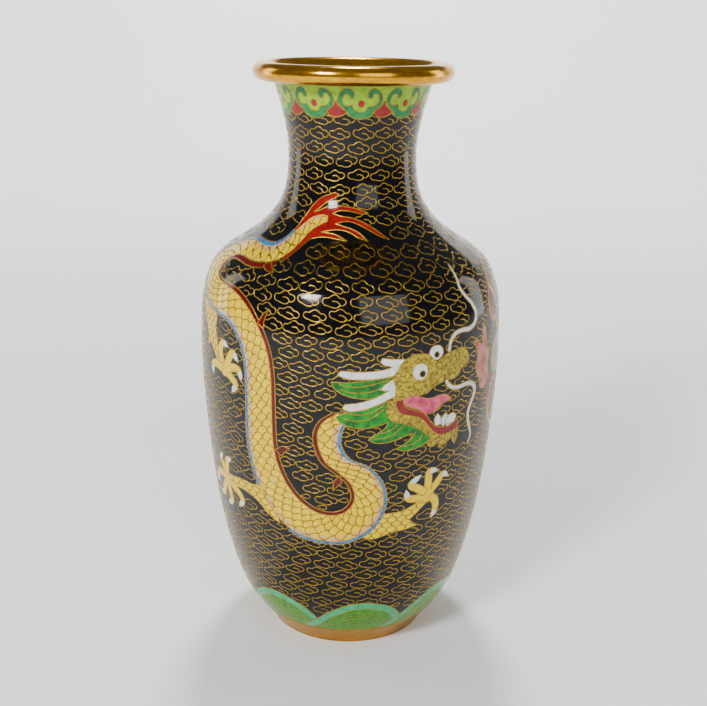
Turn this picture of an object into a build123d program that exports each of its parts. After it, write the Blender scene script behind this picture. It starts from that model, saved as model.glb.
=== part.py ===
"""Cloisonne vase, 230 mm tall: a copper body spun in two pieces and brazed at the shoulder, a brass
mouth ring, a brass foot ring, a base disc, counter-enamel inside and underneath, and an outer layer
of enamel that wires divide into cells. Two dragons face each other across a flaming pearl on a black
ground, between a collar of ten lappets and a border of eight hills.

Frame: millimetres, +Z up, origin at the centre of the foot's resting face, front facing -Y.
The decoration is given as (angle, height): degrees round the axis from the front, towards +X, and
millimetres above the floor on a vase of ART_HEIGHT.
"""

import os
from math import atan2, cos, degrees, hypot, radians, sin, tan

from build123d import *

# --- driving dimensions, in millimetres -----------------------------------------------------
height = 230.0  # floor to the top of the mouth ring
seat_height = 10.0  # top of the foot ring, where the shells stand
foot_radius = 38.8  # enamel at the seat
belly_radius = 59.8
belly_height = 121.0
throat_radius = 24.8
throat_height = 196.0
lip_radius = 30.5  # enamel under the mouth ring

enamel = 1.0  # outer enamel, flush with its wires
copper = 1.0  # spun sheet
lining = 0.5  # counter-enamel
wire = 0.36  # cloison strip, on edge

seam_height = 149.0  # shoulder seam between the two copper spinnings
seam_lap = 7.0

bead_radius = 3.5  # wire ring round the mouth
sleeve_wall = 0.8
sleeve_length = 19.0  # how far the mouth ring reaches down the throat

foot_wall = 3.6  # foot ring, at the floor
foot_bottom_radius = 32.3
foot_lip = 1.5  # raised band round the top of the foot ring
foot_step = 0.7
disc_thickness = 1.2
disc_ledge = 2.4  # width of the foot ring's ledge under the base disc
clearance = 0.05

lappets = 10
lappet_turn = 3.0
hills = 8
hill_turn = 4.5
pearl_turn = 75.0  # the pearl's meridian, which mirrors one dragon into the other
fin_width = 1.75
edge_width = 1.15

ART_HEIGHT = 230.0
lip_height = height - 2 * bead_radius
shell_turn = pearl_turn - 180  # the shells' seam lines lie opposite the pearl

# --- the dragon's body: (angle, height) on the back, then on the belly, from tail to neck -----
RUNGS = [
    (-17.0, 174.4, -17.5, 176.0), (-21.5, 173.2, -22.5, 176.2), (-26.0, 171.4, -29.0, 175.2),
    (-29.3, 168.2, -34.0, 172.8), (-31.6, 164.8, -38.2, 169.8), (-36.0, 161.4, -41.8, 166.4),
    (-42.5, 160.0, -46.0, 164.8), (-50.0, 159.8, -52.5, 164.4), (-57.5, 160.2, -61.0, 164.8),
    (-63.8, 159.8, -70.5, 164.0), (-67.0, 157.9, -79.5, 160.8), (-67.0, 155.3, -84.0, 155.0),
    (-64.5, 152.4, -80.5, 149.0), (-60.0, 151.0, -73.0, 144.6), (-54.0, 150.3, -64.0, 141.5),
    (-47.0, 148.9, -54.0, 140.2), (-40.8, 145.8, -47.4, 138.2), (-36.2, 141.5, -43.2, 134.2),
    (-32.4, 136.3, -40.6, 129.6), (-29.8, 130.0, -39.3, 124.0), (-28.5, 122.0, -38.9, 117.0),
    (-28.3, 113.0, -39.0, 109.0), (-28.4, 103.5, -39.5, 100.5), (-28.3, 95.0, -39.5, 92.5),
    (-26.9, 87.2, -38.5, 84.8), (-23.7, 79.8, -35.8, 76.0), (-18.8, 73.6, -31.5, 67.8),
    (-12.5, 69.4, -23.5, 60.3), (-6.5, 68.3, -12.5, 57.1), (-1.6, 69.6, -1.0, 57.3),
    (1.8, 73.2, 9.0, 62.8), (2.5, 77.6, 13.4, 71.8), (0.6, 82.6, 12.4, 81.0),
    (-3.8, 86.9, 6.6, 88.5), (-8.2, 90.7, -0.4, 92.0), (-10.6, 96.5, -3.7, 97.3),
    (-10.9, 102.3, -3.4, 103.0), (-8.6, 107.0, -1.5, 106.8), (-4.0, 110.2, 0.5, 109.0),
]
BODY_SPOT = (-35.0, 57.0)


# Edge of the body where the fin stands and where the blue edge runs, as rungs from the tail.
FIN_RUNGS = (5, 38)
EDGE_RUNGS = ((4, 25), (27, 38))
BELLY_ROW = 2.3  # width of the row of pale scales along the belly
THORNS = [
    [[(-36.5, 159.6), (-33.5, 157.9)], [(-37.0, 158.0), (-41.0, 159.3)], [(-39.0, 161.0)]],
    [[(-32.4, 144.2), (-30.3, 146.1)], [(-31.6, 142.4), (-31.8, 139.0)], [(-34.5, 140.5)]],
    [[(-24.4, 95.0), (-21.4, 94.2)], [(-23.9, 92.6), (-24.9, 90.6)], [(-27.5, 93.0)]],
    [[(-5.2, 82.6), (-5.5, 78.8)], [(-4.0, 80.8), (-2.2, 82.4)], [(-3.0, 85.5)]],
]
TAIL_FLAME = [
    [(-38.3, 172.0), (-37.0, 174.0), (-35.0, 176.3), (-33.0, 178.3), (-30.0, 180.3), (-27.0, 181.6),
     (-23.0, 182.8), (-18.0, 183.5), (-14.0, 184.2), (-10.0, 183.4)],
    [(-14.0, 182.2), (-18.0, 181.3), (-22.0, 180.0), (-26.0, 178.3), (-29.8, 177.0)],
    [(-25.0, 177.8), (-20.0, 179.0), (-15.0, 179.6), (-8.0, 179.6), (0.0, 179.2), (6.0, 178.5),
     (12.8, 177.2)],
    [(8.0, 177.0), (3.0, 177.5), (-3.0, 178.0), (-9.0, 178.0), (-14.2, 177.0)],
    [(-8.0, 176.2), (-2.0, 175.9), (4.0, 175.2), (10.0, 173.8), (16.0, 171.9), (23.5, 168.5)],
    [(18.0, 169.7), (13.0, 171.3), (7.0, 173.0), (2.0, 174.1), (-4.0, 174.5), (-11.3, 173.6)],
    [(-5.0, 172.9), (0.0, 172.2), (5.0, 170.9), (10.2, 168.3)],
    [(4.0, 169.6), (0.0, 170.8), (-5.0, 171.6), (-11.0, 171.7), (-20.0, 170.8)],
    [(-12.0, 170.5), (-8.0, 169.9), (-2.2, 168.4)],
    [(-7.0, 168.8), (-12.0, 169.2), (-18.0, 169.3), (-22.0, 168.9), (-25.0, 168.3), (-29.0, 165.0),
     (-33.2, 160.6)],
    [(-34.0, 163.5), (-36.0, 168.0), (-39.2, 170.4)],
]
FLAME_SPOT = (-12.0, 31.0)  # facing direction and radius where a group of outlines is laid out

# --- the dragon's head ------------------------------------------------------------------------
HEAD_SPOT = (20.0, 59.0)
EYE = (25.4, 124.7, 3.2, 1.2)  # angle, height, radius of the white, radius of the pupil
FAR_EYE = (31.8, 131.0, 2.8, 1.1)
UPPER_HORN = [
    [(-3.0, 126.2), (3.0, 126.1), (9.0, 126.3), (13.0, 126.9), (15.0, 127.6)],
    [(12.0, 128.4), (10.7, 129.6), (11.5, 131.0)],
    [(14.0, 130.6), (20.0, 130.0)],
    [(18.0, 128.2), (17.0, 126.3), (15.5, 124.2)],
    [(9.0, 123.3), (4.0, 123.2), (0.0, 123.4), (-4.2, 124.8)],
]
LOWER_HORN = [
    [(-1.5, 113.6), (3.0, 114.4), (7.0, 115.5), (11.0, 117.2), (14.0, 118.9)],
    [(12.6, 118.7), (10.6, 119.3)],
    [(12.5, 121.2), (15.2, 123.0)],
    [(16.2, 120.0), (16.2, 116.4)],
    [(13.0, 115.0), (9.0, 113.1), (5.0, 111.8), (0.0, 111.2), (-2.3, 112.2)],
]
UPPER_MANE = [
    [(9.0, 123.2), (4.0, 122.7), (0.0, 122.2), (-6.2, 122.2)],
    [(-5.4, 120.3), (-3.4, 118.4), (-0.5, 117.0), (3.0, 116.2), (7.0, 116.0), (12.0, 117.6),
     (16.5, 121.0)],
    [(15.6, 123.8)],
]
LOWER_MANE = [
    [(12.0, 114.2), (9.0, 113.0), (5.0, 111.7), (0.0, 110.9), (-4.5, 109.2)],
    [(-3.8, 107.8), (-2.0, 106.2), (1.0, 105.0), (5.0, 104.5), (9.0, 105.0), (14.0, 106.6)],
    [(13.0, 104.5), (10.5, 102.4), (7.0, 99.9)],
    [(9.5, 98.6), (14.0, 98.5), (19.0, 100.0), (23.3, 101.2)],
    [(22.6, 99.2), (20.5, 97.3), (17.5, 95.6)],
    [(20.0, 94.5), (25.0, 94.8), (29.0, 96.2), (31.6, 97.8)],
    [(29.0, 100.0), (26.5, 102.3), (23.5, 104.0), (20.0, 105.4), (16.5, 106.5), (14.5, 107.8),
     (13.6, 109.5), (13.6, 112.0), (15.0, 115.0)],
]
SKULL = [
    [(15.6, 124.0), (17.0, 127.0), (19.5, 129.7), (22.5, 131.1), (26.0, 131.4), (28.5, 130.7),
     (30.5, 129.0), (32.2, 127.3)],
    [(34.0, 128.4), (36.5, 129.8), (40.0, 130.4), (43.0, 130.9), (45.5, 130.0), (47.2, 128.0),
     (48.0, 126.0), (47.2, 124.2), (43.5, 122.6)],
    [(42.5, 120.9), (40.5, 119.8), (38.5, 119.7), (36.0, 119.8), (34.0, 119.2), (31.0, 118.2),
     (28.5, 116.4), (26.0, 115.9), (22.0, 115.7), (18.0, 114.9), (15.6, 114.4)],
    [(15.0, 118.0), (15.0, 122.0)],
]
JAW = [
    [(14.0, 114.6), (13.2, 112.0), (13.4, 109.4), (14.5, 107.6), (16.5, 106.3), (20.0, 105.2),
     (23.5, 103.8), (26.5, 102.0), (29.0, 99.8), (31.0, 98.0)],
    [(29.8, 96.6), (29.9, 95.0), (32.0, 94.4), (35.0, 95.3)],
    [(34.9, 94.0), (35.5, 92.8)],
    [(38.0, 94.1), (41.5, 96.3)],
    [(41.5, 94.6), (43.0, 92.9)],
    [(44.0, 95.4), (43.7, 99.6)],
    [(40.0, 98.6), (36.0, 98.4), (33.0, 99.6), (30.5, 102.0), (28.0, 105.2), (25.5, 107.3),
     (22.0, 108.5), (18.5, 109.8), (16.9, 112.0), (16.5, 114.7)],
]
LIP = [
    [(19.6, 112.8), (21.0, 111.3), (24.0, 110.0), (27.0, 108.8), (29.0, 106.8), (31.0, 104.1),
     (33.5, 102.2), (36.5, 101.3), (40.0, 101.3), (42.8, 103.4)],
    [(43.7, 101.8), (43.6, 99.2)],
    [(40.0, 98.4), (36.0, 98.2), (33.0, 99.4), (30.5, 101.8), (28.0, 105.0), (25.5, 107.1),
     (22.0, 108.3), (18.5, 109.6), (16.8, 112.0), (16.3, 114.8)],
    [(19.2, 114.8)],
]
TONGUE = [
    [(22.0, 116.0), (25.0, 115.5), (28.0, 114.2), (31.0, 114.0), (34.0, 114.6), (36.5, 114.2),
     (39.6, 111.7)],
    [(36.5, 111.2), (34.5, 110.3), (32.5, 108.7), (30.0, 107.9), (27.5, 108.5), (25.0, 110.2),
     (22.0, 111.3), (20.0, 112.8), (19.2, 114.8)],
]
TEETH = [
    [[(37.2, 103.6), (38.6, 105.6), (40.8, 106.2)], [(42.4, 104.6), (41.8, 102.4)], [(38.0, 101.0)]],
    [[(35.0, 104.6), (37.0, 106.9)], [(38.4, 105.0), (37.9, 102.8)], [(36.0, 101.2)]],
    [[(32.0, 105.0), (33.3, 107.4)], [(35.1, 105.0), (35.4, 102.6)], [(32.8, 102.4)]],
]
UPPER_WHISKER = [(37.5, 130.4), (38.2, 134.0), (40.4, 136.6), (44.0, 137.3), (48.0, 137.1),
                 (51.2, 138.4), (52.8, 141.6), (51.2, 145.6), (48.0, 149.2), (46.1, 152.4),
                 (46.8, 156.0), (48.0, 159.6)]
LOWER_WHISKER = [(36.5, 121.0), (37.0, 118.4), (39.4, 116.4), (42.5, 115.7), (46.0, 116.0),
                 (50.0, 115.4), (52.3, 113.2), (52.2, 110.2), (50.4, 107.0), (49.3, 103.6),
                 (50.0, 100.0), (51.6, 96.6), (52.6, 93.6), (51.4, 90.4)]
WHISKER_WIDTH = 1.7

# --- the dragon's legs: shank outline, then the pad and the toes ------------------------------
LEGS = [
    ((-60.0, 58.0),
     [[(-70.0, 137.0), (-66.5, 132.0), (-65.3, 128.5), (-66.0, 126.0)],
      [(-64.6, 125.6), (-63.0, 127.3)], [(-60.0, 124.6), (-57.0, 121.6), (-54.8, 120.2)],
      [(-51.0, 121.0)], [(-53.4, 123.8), (-55.5, 127.0), (-57.4, 131.0), (-58.0, 134.0),
                          (-57.2, 139.6)], [(-66.0, 144.0), (-73.0, 141.5)]],
     (-51.5, 119.5),
     [[(-53.0, 121.5), (-54.4, 125.6), (-53.2, 129.2), (-48.8, 128.2)],
      [(-50.5, 121.5), (-48.0, 125.4), (-46.6, 126.8), (-43.4, 123.6)],
      [(-50.0, 120.0), (-45.6, 121.3), (-43.3, 120.8), (-42.0, 116.6)],
      [(-50.5, 118.5), (-47.0, 116.6), (-45.2, 114.8), (-47.6, 111.2)],
      [(-53.0, 119.0), (-58.0, 119.9), (-61.0, 118.4), (-60.2, 114.2)]]),
    ((-52.0, 57.5),
     [[(-36.0, 76.4), (-39.5, 75.3), (-43.0, 75.6), (-48.0, 75.4), (-53.0, 74.8), (-57.0, 75.2)],
      [(-58.0, 70.6)], [(-54.5, 70.3), (-51.0, 70.9), (-46.0, 71.1), (-41.0, 70.0), (-37.0, 68.0),
                         (-33.5, 64.8), (-28.0, 61.4)], [(-29.0, 70.0)]],
     (-57.5, 72.0),
     [[(-57.0, 73.5), (-56.4, 77.6), (-55.8, 80.2), (-52.0, 81.9)],
      [(-58.0, 73.5), (-59.6, 77.0), (-61.4, 79.4), (-59.0, 82.2)],
      [(-59.0, 72.5), (-64.0, 72.4), (-68.2, 69.8), (-69.4, 65.0)],
      [(-58.5, 70.5), (-61.5, 66.6), (-63.2, 63.6), (-68.0, 63.2)],
      [(-57.0, 70.0), (-56.2, 65.6), (-56.2, 62.4), (-60.0, 60.2)],
      [(-55.5, 71.0), (-49.0, 68.2), (-47.4, 65.6), (-50.8, 61.8)]]),
    ((26.0, 56.5),
     [[(17.0, 68.6), (21.0, 68.8), (24.0, 69.8), (27.0, 71.2), (30.0, 73.0)], [(33.4, 71.0)],
      [(31.0, 69.8), (27.5, 66.8), (24.8, 64.6)], [(26.5, 63.0), (28.2, 61.4)],
      [(22.4, 60.3), (18.0, 60.2), (14.0, 58.8), (9.5, 57.8), (5.5, 59.0)], [(7.0, 64.0), (11.0, 68.4)]],
     (32.0, 74.0),
     [[(31.0, 75.0), (27.2, 77.6), (24.4, 79.6), (28.4, 83.2)],
      [(32.0, 75.5), (31.8, 80.0), (32.0, 83.8), (36.6, 83.4)],
      [(33.0, 75.0), (36.4, 78.6), (38.6, 81.2), (42.2, 79.2)],
      [(30.5, 73.5), (26.0, 73.4), (23.4, 74.2), (22.4, 77.8)],
      [(33.5, 73.0), (36.2, 70.2), (36.6, 66.4), (35.0, 62.8)]]),
]
TOE_WIDTH = 3.2
PAD_RADIUS = 3.1

# --- the pearl and its flames -----------------------------------------------------------------
PEARL_SPOT = (75.0, 59.5)
PEARL_LEVEL = 121.2
PEARL_RINGS = ((8.3, "pearl_green"), (6.7, "pearl_pink"), (5.0, "pearl_green"), (2.6, "pearl_core"))
PEARL_SQUASH = 1.3  # the pearl is wider than it is high
SIDE_FLAME = [
    [(53.3, 126.0), (52.3, 121.0), (54.3, 117.0), (55.8, 114.8)],
    [(55.9, 112.7), (58.0, 111.2), (61.0, 111.6), (63.8, 114.4)],
    [(62.6, 117.6), (62.6, 122.0), (63.6, 126.8)],
    [(61.6, 125.6), (60.6, 128.6)],
    [(60.0, 133.0), (57.6, 137.6)],
    [(57.0, 133.2), (56.6, 129.0)],
    [(54.6, 130.0), (51.0, 132.0)],
]
TOP_FLAME = [(74.6, 130.6), (72.6, 133.4), (72.4, 136.8), (73.4, 141.0), (71.8, 145.0), (69.0, 148.8),
             (69.6, 153.6), (73.6, 157.0)]
HOOK_FLAME = [(71.4, 137.2), (68.6, 136.4), (65.6, 138.6), (64.6, 142.8), (66.4, 147.4), (68.6, 150.0)]
TAIL_WISP = [(69.6, 113.6), (66.4, 108.0), (65.8, 102.6), (67.6, 97.4), (71.6, 93.4), (76.6, 90.2),
             (82.0, 87.4)]

# --- one lappet of the collar -------------------------------------------------------------------
LAPPET_SPOT = (0.0, 27.5)
SCROLL = [
    [(-1.6, 220.4), (-2.4, 218.5), (-4.8, 218.4), (-6.2, 219.9)],
    [(-8.6, 219.7), (-10.4, 217.9), (-9.4, 216.2), (-7.0, 215.7)],
    [(-3.4, 216.2), (-1.9, 214.6), (0.0, 213.9), (3.0, 213.6), (6.0, 213.9), (7.6, 215.0),
     (9.0, 215.7)],
    [(12.6, 215.7), (15.0, 216.6), (15.9, 218.4), (14.4, 220.0), (12.2, 220.1)],
    [(11.0, 218.5), (8.6, 218.4), (7.4, 220.0), (8.6, 221.6), (12.0, 222.1), (16.4, 221.0),
     (19.2, 218.4), (18.2, 215.8), (15.6, 214.7), (12.7, 213.8)],
    [(11.6, 212.3), (8.0, 211.4), (3.0, 211.0), (-2.0, 211.4), (-5.8, 212.3), (-7.4, 213.4)],
    [(-10.0, 214.9), (-13.0, 216.0), (-14.2, 218.4), (-11.8, 220.9), (-7.6, 222.2), (-3.6, 221.9)],
]
SCALLOP = [
    [(22.6, 215.9), (26.0, 214.4), (28.4, 213.9)],
    [(27.2, 212.9), (24.4, 212.1), (20.0, 211.6), (16.0, 212.1), (13.0, 213.3)],
    [(15.4, 214.9), (18.2, 215.7), (20.2, 217.4)],
]
DOT = (3.2, 216.5, 1.3)
LAPPET_FIELD = [(-15.8, 217.4), (-15.8, 224.5), (20.2, 224.5), (20.2, 217.4), (16.6, 217.4),
                (13.6, 215.0), (8.0, 212.6), (3.0, 212.2), (-4.0, 212.8), (-8.0, 214.8), (-12.0, 217.4)]

# --- one hill of the foot border ----------------------------------------------------------------
HILL_SPOT = (0.0, 43.0)
HILL_OUTER = [(-31.0, 9.6), (-26.0, 12.6), (-20.0, 16.5), (-15.0, 20.2), (-10.0, 23.0), (-5.0, 25.2),
              (0.0, 26.2), (4.5, 26.4), (10.0, 25.5), (15.0, 24.0), (20.0, 21.2), (25.0, 16.6),
              (31.0, 9.6)]
HILL_BORDER = 3.2


def profile_points(inset):
    """Points (radius, height) down the outside of the enamel, moved in by inset along the normal."""
    down = seat_height
    up = belly_height - seat_height
    out = belly_radius - foot_radius
    rise = throat_height - belly_height
    narrow = belly_radius - throat_radius
    belly = [(foot_radius, down)]
    for over, along in ((0.162, 0.435), (0.389, 0.72), (0.74, 0.935)):
        belly.append((foot_radius + along * out, down + over * up))
    belly.append((belly_radius, belly_height))
    shoulder = [(belly_radius, belly_height)]
    for over, along in ((0.319, 0.05), (0.441, 0.154), (0.564, 0.50), (0.687, 0.809), (0.84, 0.969)):
        shoulder.append((belly_radius - along * narrow, belly_height + over * rise))
    shoulder.append((throat_radius, throat_height))
    mouth = [(throat_radius, throat_height)]
    mouth.append((throat_radius + 0.29 * (lip_radius - throat_radius),
                  throat_height + 0.493 * (lip_height - throat_height)))
    mouth.append((lip_radius, lip_height))
    pieces = []
    with BuildLine():
        pieces.append(Spline(*belly, tangents=[(0.75, 1), (0, 1)]))
        pieces.append(Spline(*shoulder, tangents=[(0, 1), (0, 1)]))
        pieces.append(Spline(*mouth, tangents=[(0, 1), (0.45, 1)]))
    points = []
    for number, piece in enumerate(pieces):
        steps = (9, 13, 5)[number]
        for step in range(0 if number == 0 else 1, steps + 1):
            here = piece @ (step / steps)
            along = piece % (step / steps)
            points.append((here.X - inset * along.Y, here.Y + inset * along.X))
    first = (points[0][0] - points[1][0], points[0][1] - points[1][1])
    last = (points[-1][0] - points[-2][0], points[-1][1] - points[-2][1])
    points.insert(0, (points[0][0] + 0.8 * first[0], points[0][1] + 0.8 * first[1]))
    points.append((points[-1][0] + 0.8 * last[0], points[-1][1] + 0.8 * last[1]))
    return points


SURFACE = profile_points(0)


def radius_at(level):
    """Outside radius of the enamel at a height."""
    for (r0, z0), (r1, z1) in zip(SURFACE, SURFACE[1:]):
        if level <= z1:
            return r0 + (r1 - r0) * (level - z0) / (z1 - z0)
    return SURFACE[-1][0]


def section_plane(turn):
    """The half plane through the axis at turn degrees: local x outwards, local y up."""
    out = (sin(radians(turn)), -cos(radians(turn)), 0)
    return Plane(origin=(0, 0, 0), x_dir=out, z_dir=(-cos(radians(turn)), -sin(radians(turn)), 0))


def facing(spot):
    """A vertical plane square to the direction spot[0], at spot[1] from the axis."""
    turn, reach = spot
    out = (sin(radians(turn)), -cos(radians(turn)), 0)
    side = (cos(radians(turn)), sin(radians(turn)), 0)
    return Plane(origin=Vector(*out) * reach, x_dir=side, z_dir=out)


def flat(point, spot):
    """Where a point of the decoration falls on the facing plane, seen from the axis."""
    return (spot[1] * tan(radians(point[0] - spot[0])), point[1] * height / ART_HEIGHT)


def moved(point, across, up):
    """A point of the decoration moved on the surface, in millimetres."""
    turned = degrees(across / radius_at(point[1]))
    return (point[0] + turned, point[1] + up)


def gap_between(start, end):
    """Distance on the surface from one point of the decoration to another: across and up."""
    middle = radius_at((start[1] + end[1]) / 2)
    return (middle * radians(end[0] - start[0]), end[1] - start[1])


def shifted(points, distance):
    """An open line of points moved sideways, to its right, by a distance on the surface."""
    result = []
    for number, point in enumerate(points):
        before = points[max(number - 1, 0)]
        after = points[min(number + 1, len(points) - 1)]
        across, up = gap_between(before, after)
        length = hypot(across, up)
        result.append(moved(point, distance * up / length, -distance * across / length))
    return result


def layer(near, far, bottom, top, turn=shell_turn):
    """Section between two depths under the enamel's surface, between two heights."""
    with BuildSketch(section_plane(turn)) as section:
        with BuildLine():
            outside = Spline(*profile_points(near))
            inside = Spline(*profile_points(far))
            Line(outside @ 0, inside @ 0)
            Line(outside @ 1, inside @ 1)
        make_face()
        with Locations((0, (bottom + top) / 2)):
            Rectangle(4 * belly_radius, top - bottom, mode=Mode.INTERSECT)
    return section.sketch


def outline(runs, spot):
    """A closed outline on a facing plane; each run is smooth and corners fall between runs."""
    start = runs[-1][-1]
    with BuildSketch(facing(spot)) as shape:
        with BuildLine():
            for run in runs:
                points = [flat(point, spot) for point in [start] + list(run)]
                start = run[-1]
                if len(points) == 2:
                    Line(*points)
                else:
                    Spline(*points)
        make_face()
    return shape.sketch


def disc(angle, level, radius, spot, squash=1.0):
    """A round cell of the decoration."""
    with BuildSketch(facing(spot)) as shape:
        with Locations(flat((angle, level), spot)):
            if squash == 1.0:
                Circle(radius)
            else:
                Ellipse(radius * squash, radius)
    return shape.sketch


def ribbon(points, widths, spot):
    """A band along a line of points that ends in a tip."""
    count = len(points) - 1
    left = []
    right = []
    for number in range(count):
        share = number / count * (len(widths) - 1)
        low = int(share)
        width = widths[low] + (widths[low + 1] - widths[low]) * (share - low)
        left.append(shifted(points, -width / 2)[number])
        right.append(shifted(points, width / 2)[number])
    runs = [[left[0]], left[1:] + [points[-1]], right[::-1]]
    return outline(runs, spot)


def joined(shapes, spot):
    """Several outlines of one facing plane as a single sketch."""
    with BuildSketch(facing(spot)) as shape:
        for one in shapes:
            add(one)
    return shape.sketch


def grown(shape, distance, spot):
    """An outline widened all round."""
    with BuildSketch(facing(spot)) as wider:
        add(shape)
        offset(amount=distance)
    return wider.sketch


def less(shape, cutters, spot):
    """An outline without what stands in front of it."""
    with BuildSketch(facing(spot)) as remains:
        add(shape)
        for cutter in cutters:
            add(cutter, mode=Mode.SUBTRACT)
    return remains.sketch


def wedges(sketch):
    """Solids that carry each face of a sketch through the enamel along lines from the axis."""
    solids = []
    for face in sketch.faces():
        if face.area < 0.05:
            continue
        walls = []
        for loop in [face.outer_wire()] + list(face.inner_wires()):
            near = Face(loop).scale((0.4, 0.4, 1), about=(0, 0, 0))
            far = Face(loop).scale((1.3, 1.3, 1), about=(0, 0, 0))
            walls.append(loft([near, far], ruled=True, mode=Mode.PRIVATE))
        with BuildPart() as wedge:
            add(walls[0])
            for hole in walls[1:]:
                add(hole, mode=Mode.SUBTRACT)
        solids.append(wedge.part)
    return solids


def sector(turn, spread):
    """The enamel layer over part of a turn, centred on a direction."""
    with BuildPart() as piece:
        add(layer(0, enamel, seat_height, lip_height, turn - spread / 2))
        revolve(axis=Axis.Z, revolution_arc=spread)
    return piece.part


def apart(one, other):
    """Whether two solids can't touch, from their boxes."""
    a = one.bounding_box()
    b = other.bounding_box()
    pairs = ((a.min.X, a.max.X, b.min.X, b.max.X), (a.min.Y, a.max.Y, b.min.Y, b.max.Y),
             (a.min.Z, a.max.Z, b.min.Z, b.max.Z))
    return any(low > other_high or other_low > high for low, high, other_low, other_high in pairs)


def carved(sketch, cutters=()):
    """The enamel behind a sketch and outside the cutters, as separate solids."""
    solids = []
    for tool in wedges(sketch):
        centre = tool.center()
        common = sector(degrees(atan2(centre.X, -centre.Y)), 170) & tool
        if common is None:
            continue
        for solid in common.solids():
            near = [cutter for cutter in cutters if not apart(solid, cutter)]
            remains = solid.cut(*near).solids() if near else [solid]
            solids += [one for one in remains if abs(one.volume) > 0.04]
    return solids


def divided(shapes, spot):
    """Outlines cut by what stands in front of them: (name, outline), front first."""
    result = []
    fronts = []
    for name, shape in shapes:
        result.append((name, less(shape, fronts, spot)))
        fronts.append(shape)
    return result


def rail(side, distance, number):
    """A point beside the dragon's body: distance towards the belly from the back or the belly."""
    back = RUNGS[number][:2]
    belly = RUNGS[number][2:]
    across, up = gap_between(back, belly)
    width = hypot(across, up)
    if distance < -0.5 and side == "belly":
        distance = -min(-distance, 0.3 * width)
    base = back if side == "back" else belly
    return moved(base, distance * across / width, distance * up / width)


def strip(near, far, first, last):
    """A band along the dragon's body between two rails, each given as (side, distance)."""
    numbers = range(first, last + 1)
    one = [rail(*near, number) for number in numbers]
    two = [rail(*far, number) for number in numbers]
    return outline([[one[0]], one[1:], [two[-1]], two[-2::-1]], BODY_SPOT)


# --- spun copper, in two pieces lapped at the shoulder ------------------------------------------
copper_outer = enamel
copper_inner = enamel + copper
lap_depth = enamel + copper / 2
lining_inner = copper_inner + lining
seam_top = seam_height + seam_lap / 2
seam_foot = seam_height - seam_lap / 2

with BuildPart() as copper_body:
    add(layer(copper_outer, copper_inner, seat_height, seam_foot))
    add(layer(lap_depth, copper_inner, seam_foot - 0.001, seam_top))
    revolve(axis=Axis.Z)

with BuildPart() as copper_neck:
    add(layer(copper_outer, copper_inner, seam_top, lip_height))
    add(layer(copper_outer, lap_depth, seam_foot, seam_top + 0.001))
    revolve(axis=Axis.Z)

# --- foot ring: a raised band under the enamel, a taper, and a ledge for the disc -----------------
lip_outer = foot_radius - 0.4
waist = lip_outer - foot_step
floor_inner = foot_bottom_radius - foot_wall
disc_radius = foot_radius - copper_inner - 0.6
ledge_height = seat_height - disc_thickness

with BuildPart() as foot_ring:
    with BuildSketch(section_plane(shell_turn)):
        with BuildLine():
            Polyline((floor_inner + 0.8, 0), (foot_bottom_radius - 0.6, 0))
            ThreePointArc((foot_bottom_radius - 0.6, 0), (foot_bottom_radius - 0.15, 0.15),
                          (foot_bottom_radius, 0.6))
            Spline((foot_bottom_radius, 0.6), (foot_bottom_radius + 2.6, 4.4),
                   (waist, seat_height - foot_lip))
            ThreePointArc((waist, seat_height - foot_lip),
                          (lip_outer + 0.1, seat_height - foot_lip / 2),
                          (lip_outer - 0.35, seat_height))
            Polyline((lip_outer - 0.35, seat_height), (disc_radius + clearance, seat_height),
                     (disc_radius + clearance, ledge_height),
                     (disc_radius - disc_ledge, ledge_height),
                     (disc_radius - disc_ledge, ledge_height - 1.6), (floor_inner, 1.0))
            ThreePointArc((floor_inner, 1.0), (floor_inner + 0.22, 0.28), (floor_inner + 0.8, 0))
        make_face()
    revolve(axis=Axis.Z)

with BuildPart() as base_disc:
    with Locations((0, 0, ledge_height)):
        Cylinder(disc_radius, disc_thickness, align=(Align.CENTER, Align.CENTER, Align.MIN))

with BuildPart() as base_enamel:
    with Locations((0, 0, ledge_height)):
        Cylinder(disc_radius - disc_ledge - clearance, lining,
                 align=(Align.CENTER, Align.CENTER, Align.MAX))

# --- mouth ring: a round wire brazed to a sleeve that lines the throat ----------------------------
sleeve_foot = lip_height - sleeve_length
bead_centre = (lip_radius + 4.3, height - bead_radius)

with BuildPart() as rim_ring:
    add(layer(copper_inner, copper_inner + sleeve_wall, sleeve_foot, lip_height))
    revolve(axis=Axis.Z)
    with BuildSketch(section_plane(shell_turn)):
        with Locations(bead_centre):
            Circle(bead_radius)
        with BuildLine():
            throat = lip_radius - copper_inner - sleeve_wall
            Line((throat - 0.25, lip_height), (lip_radius + 0.5, lip_height))
            Line((lip_radius + 0.5, lip_height), (bead_centre[0] - 1.5, bead_centre[1] - 3.0))
            Line((bead_centre[0] - 1.5, bead_centre[1] - 3.0), bead_centre)
            Line(bead_centre, (bead_centre[0] - 3.2, bead_centre[1] + 1.3))
            Spline((bead_centre[0] - 3.2, bead_centre[1] + 1.3),
                   (throat + 1.2, lip_height + 1.9), (throat - 0.25, lip_height))
        make_face()
    revolve(axis=Axis.Z)

# --- counter-enamel inside: the wall and the floor -----------------------------------------------
with BuildPart() as lining_enamel:
    add(layer(copper_inner, lining_inner, seat_height, sleeve_foot))
    revolve(axis=Axis.Z)
    with Locations((0, 0, seat_height)):
        Cylinder(foot_radius - copper_inner - 0.3, lining, align=(Align.CENTER, Align.CENTER, Align.MIN))

# --- the layer of enamel that every cell is taken from --------------------------------------------
with BuildPart() as enamel_layer:
    add(layer(0, enamel, seat_height, lip_height))
    revolve(axis=Axis.Z)
coat = enamel_layer.part

cells = {}
cleared = []  # footprints taken out of the black ground


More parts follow.
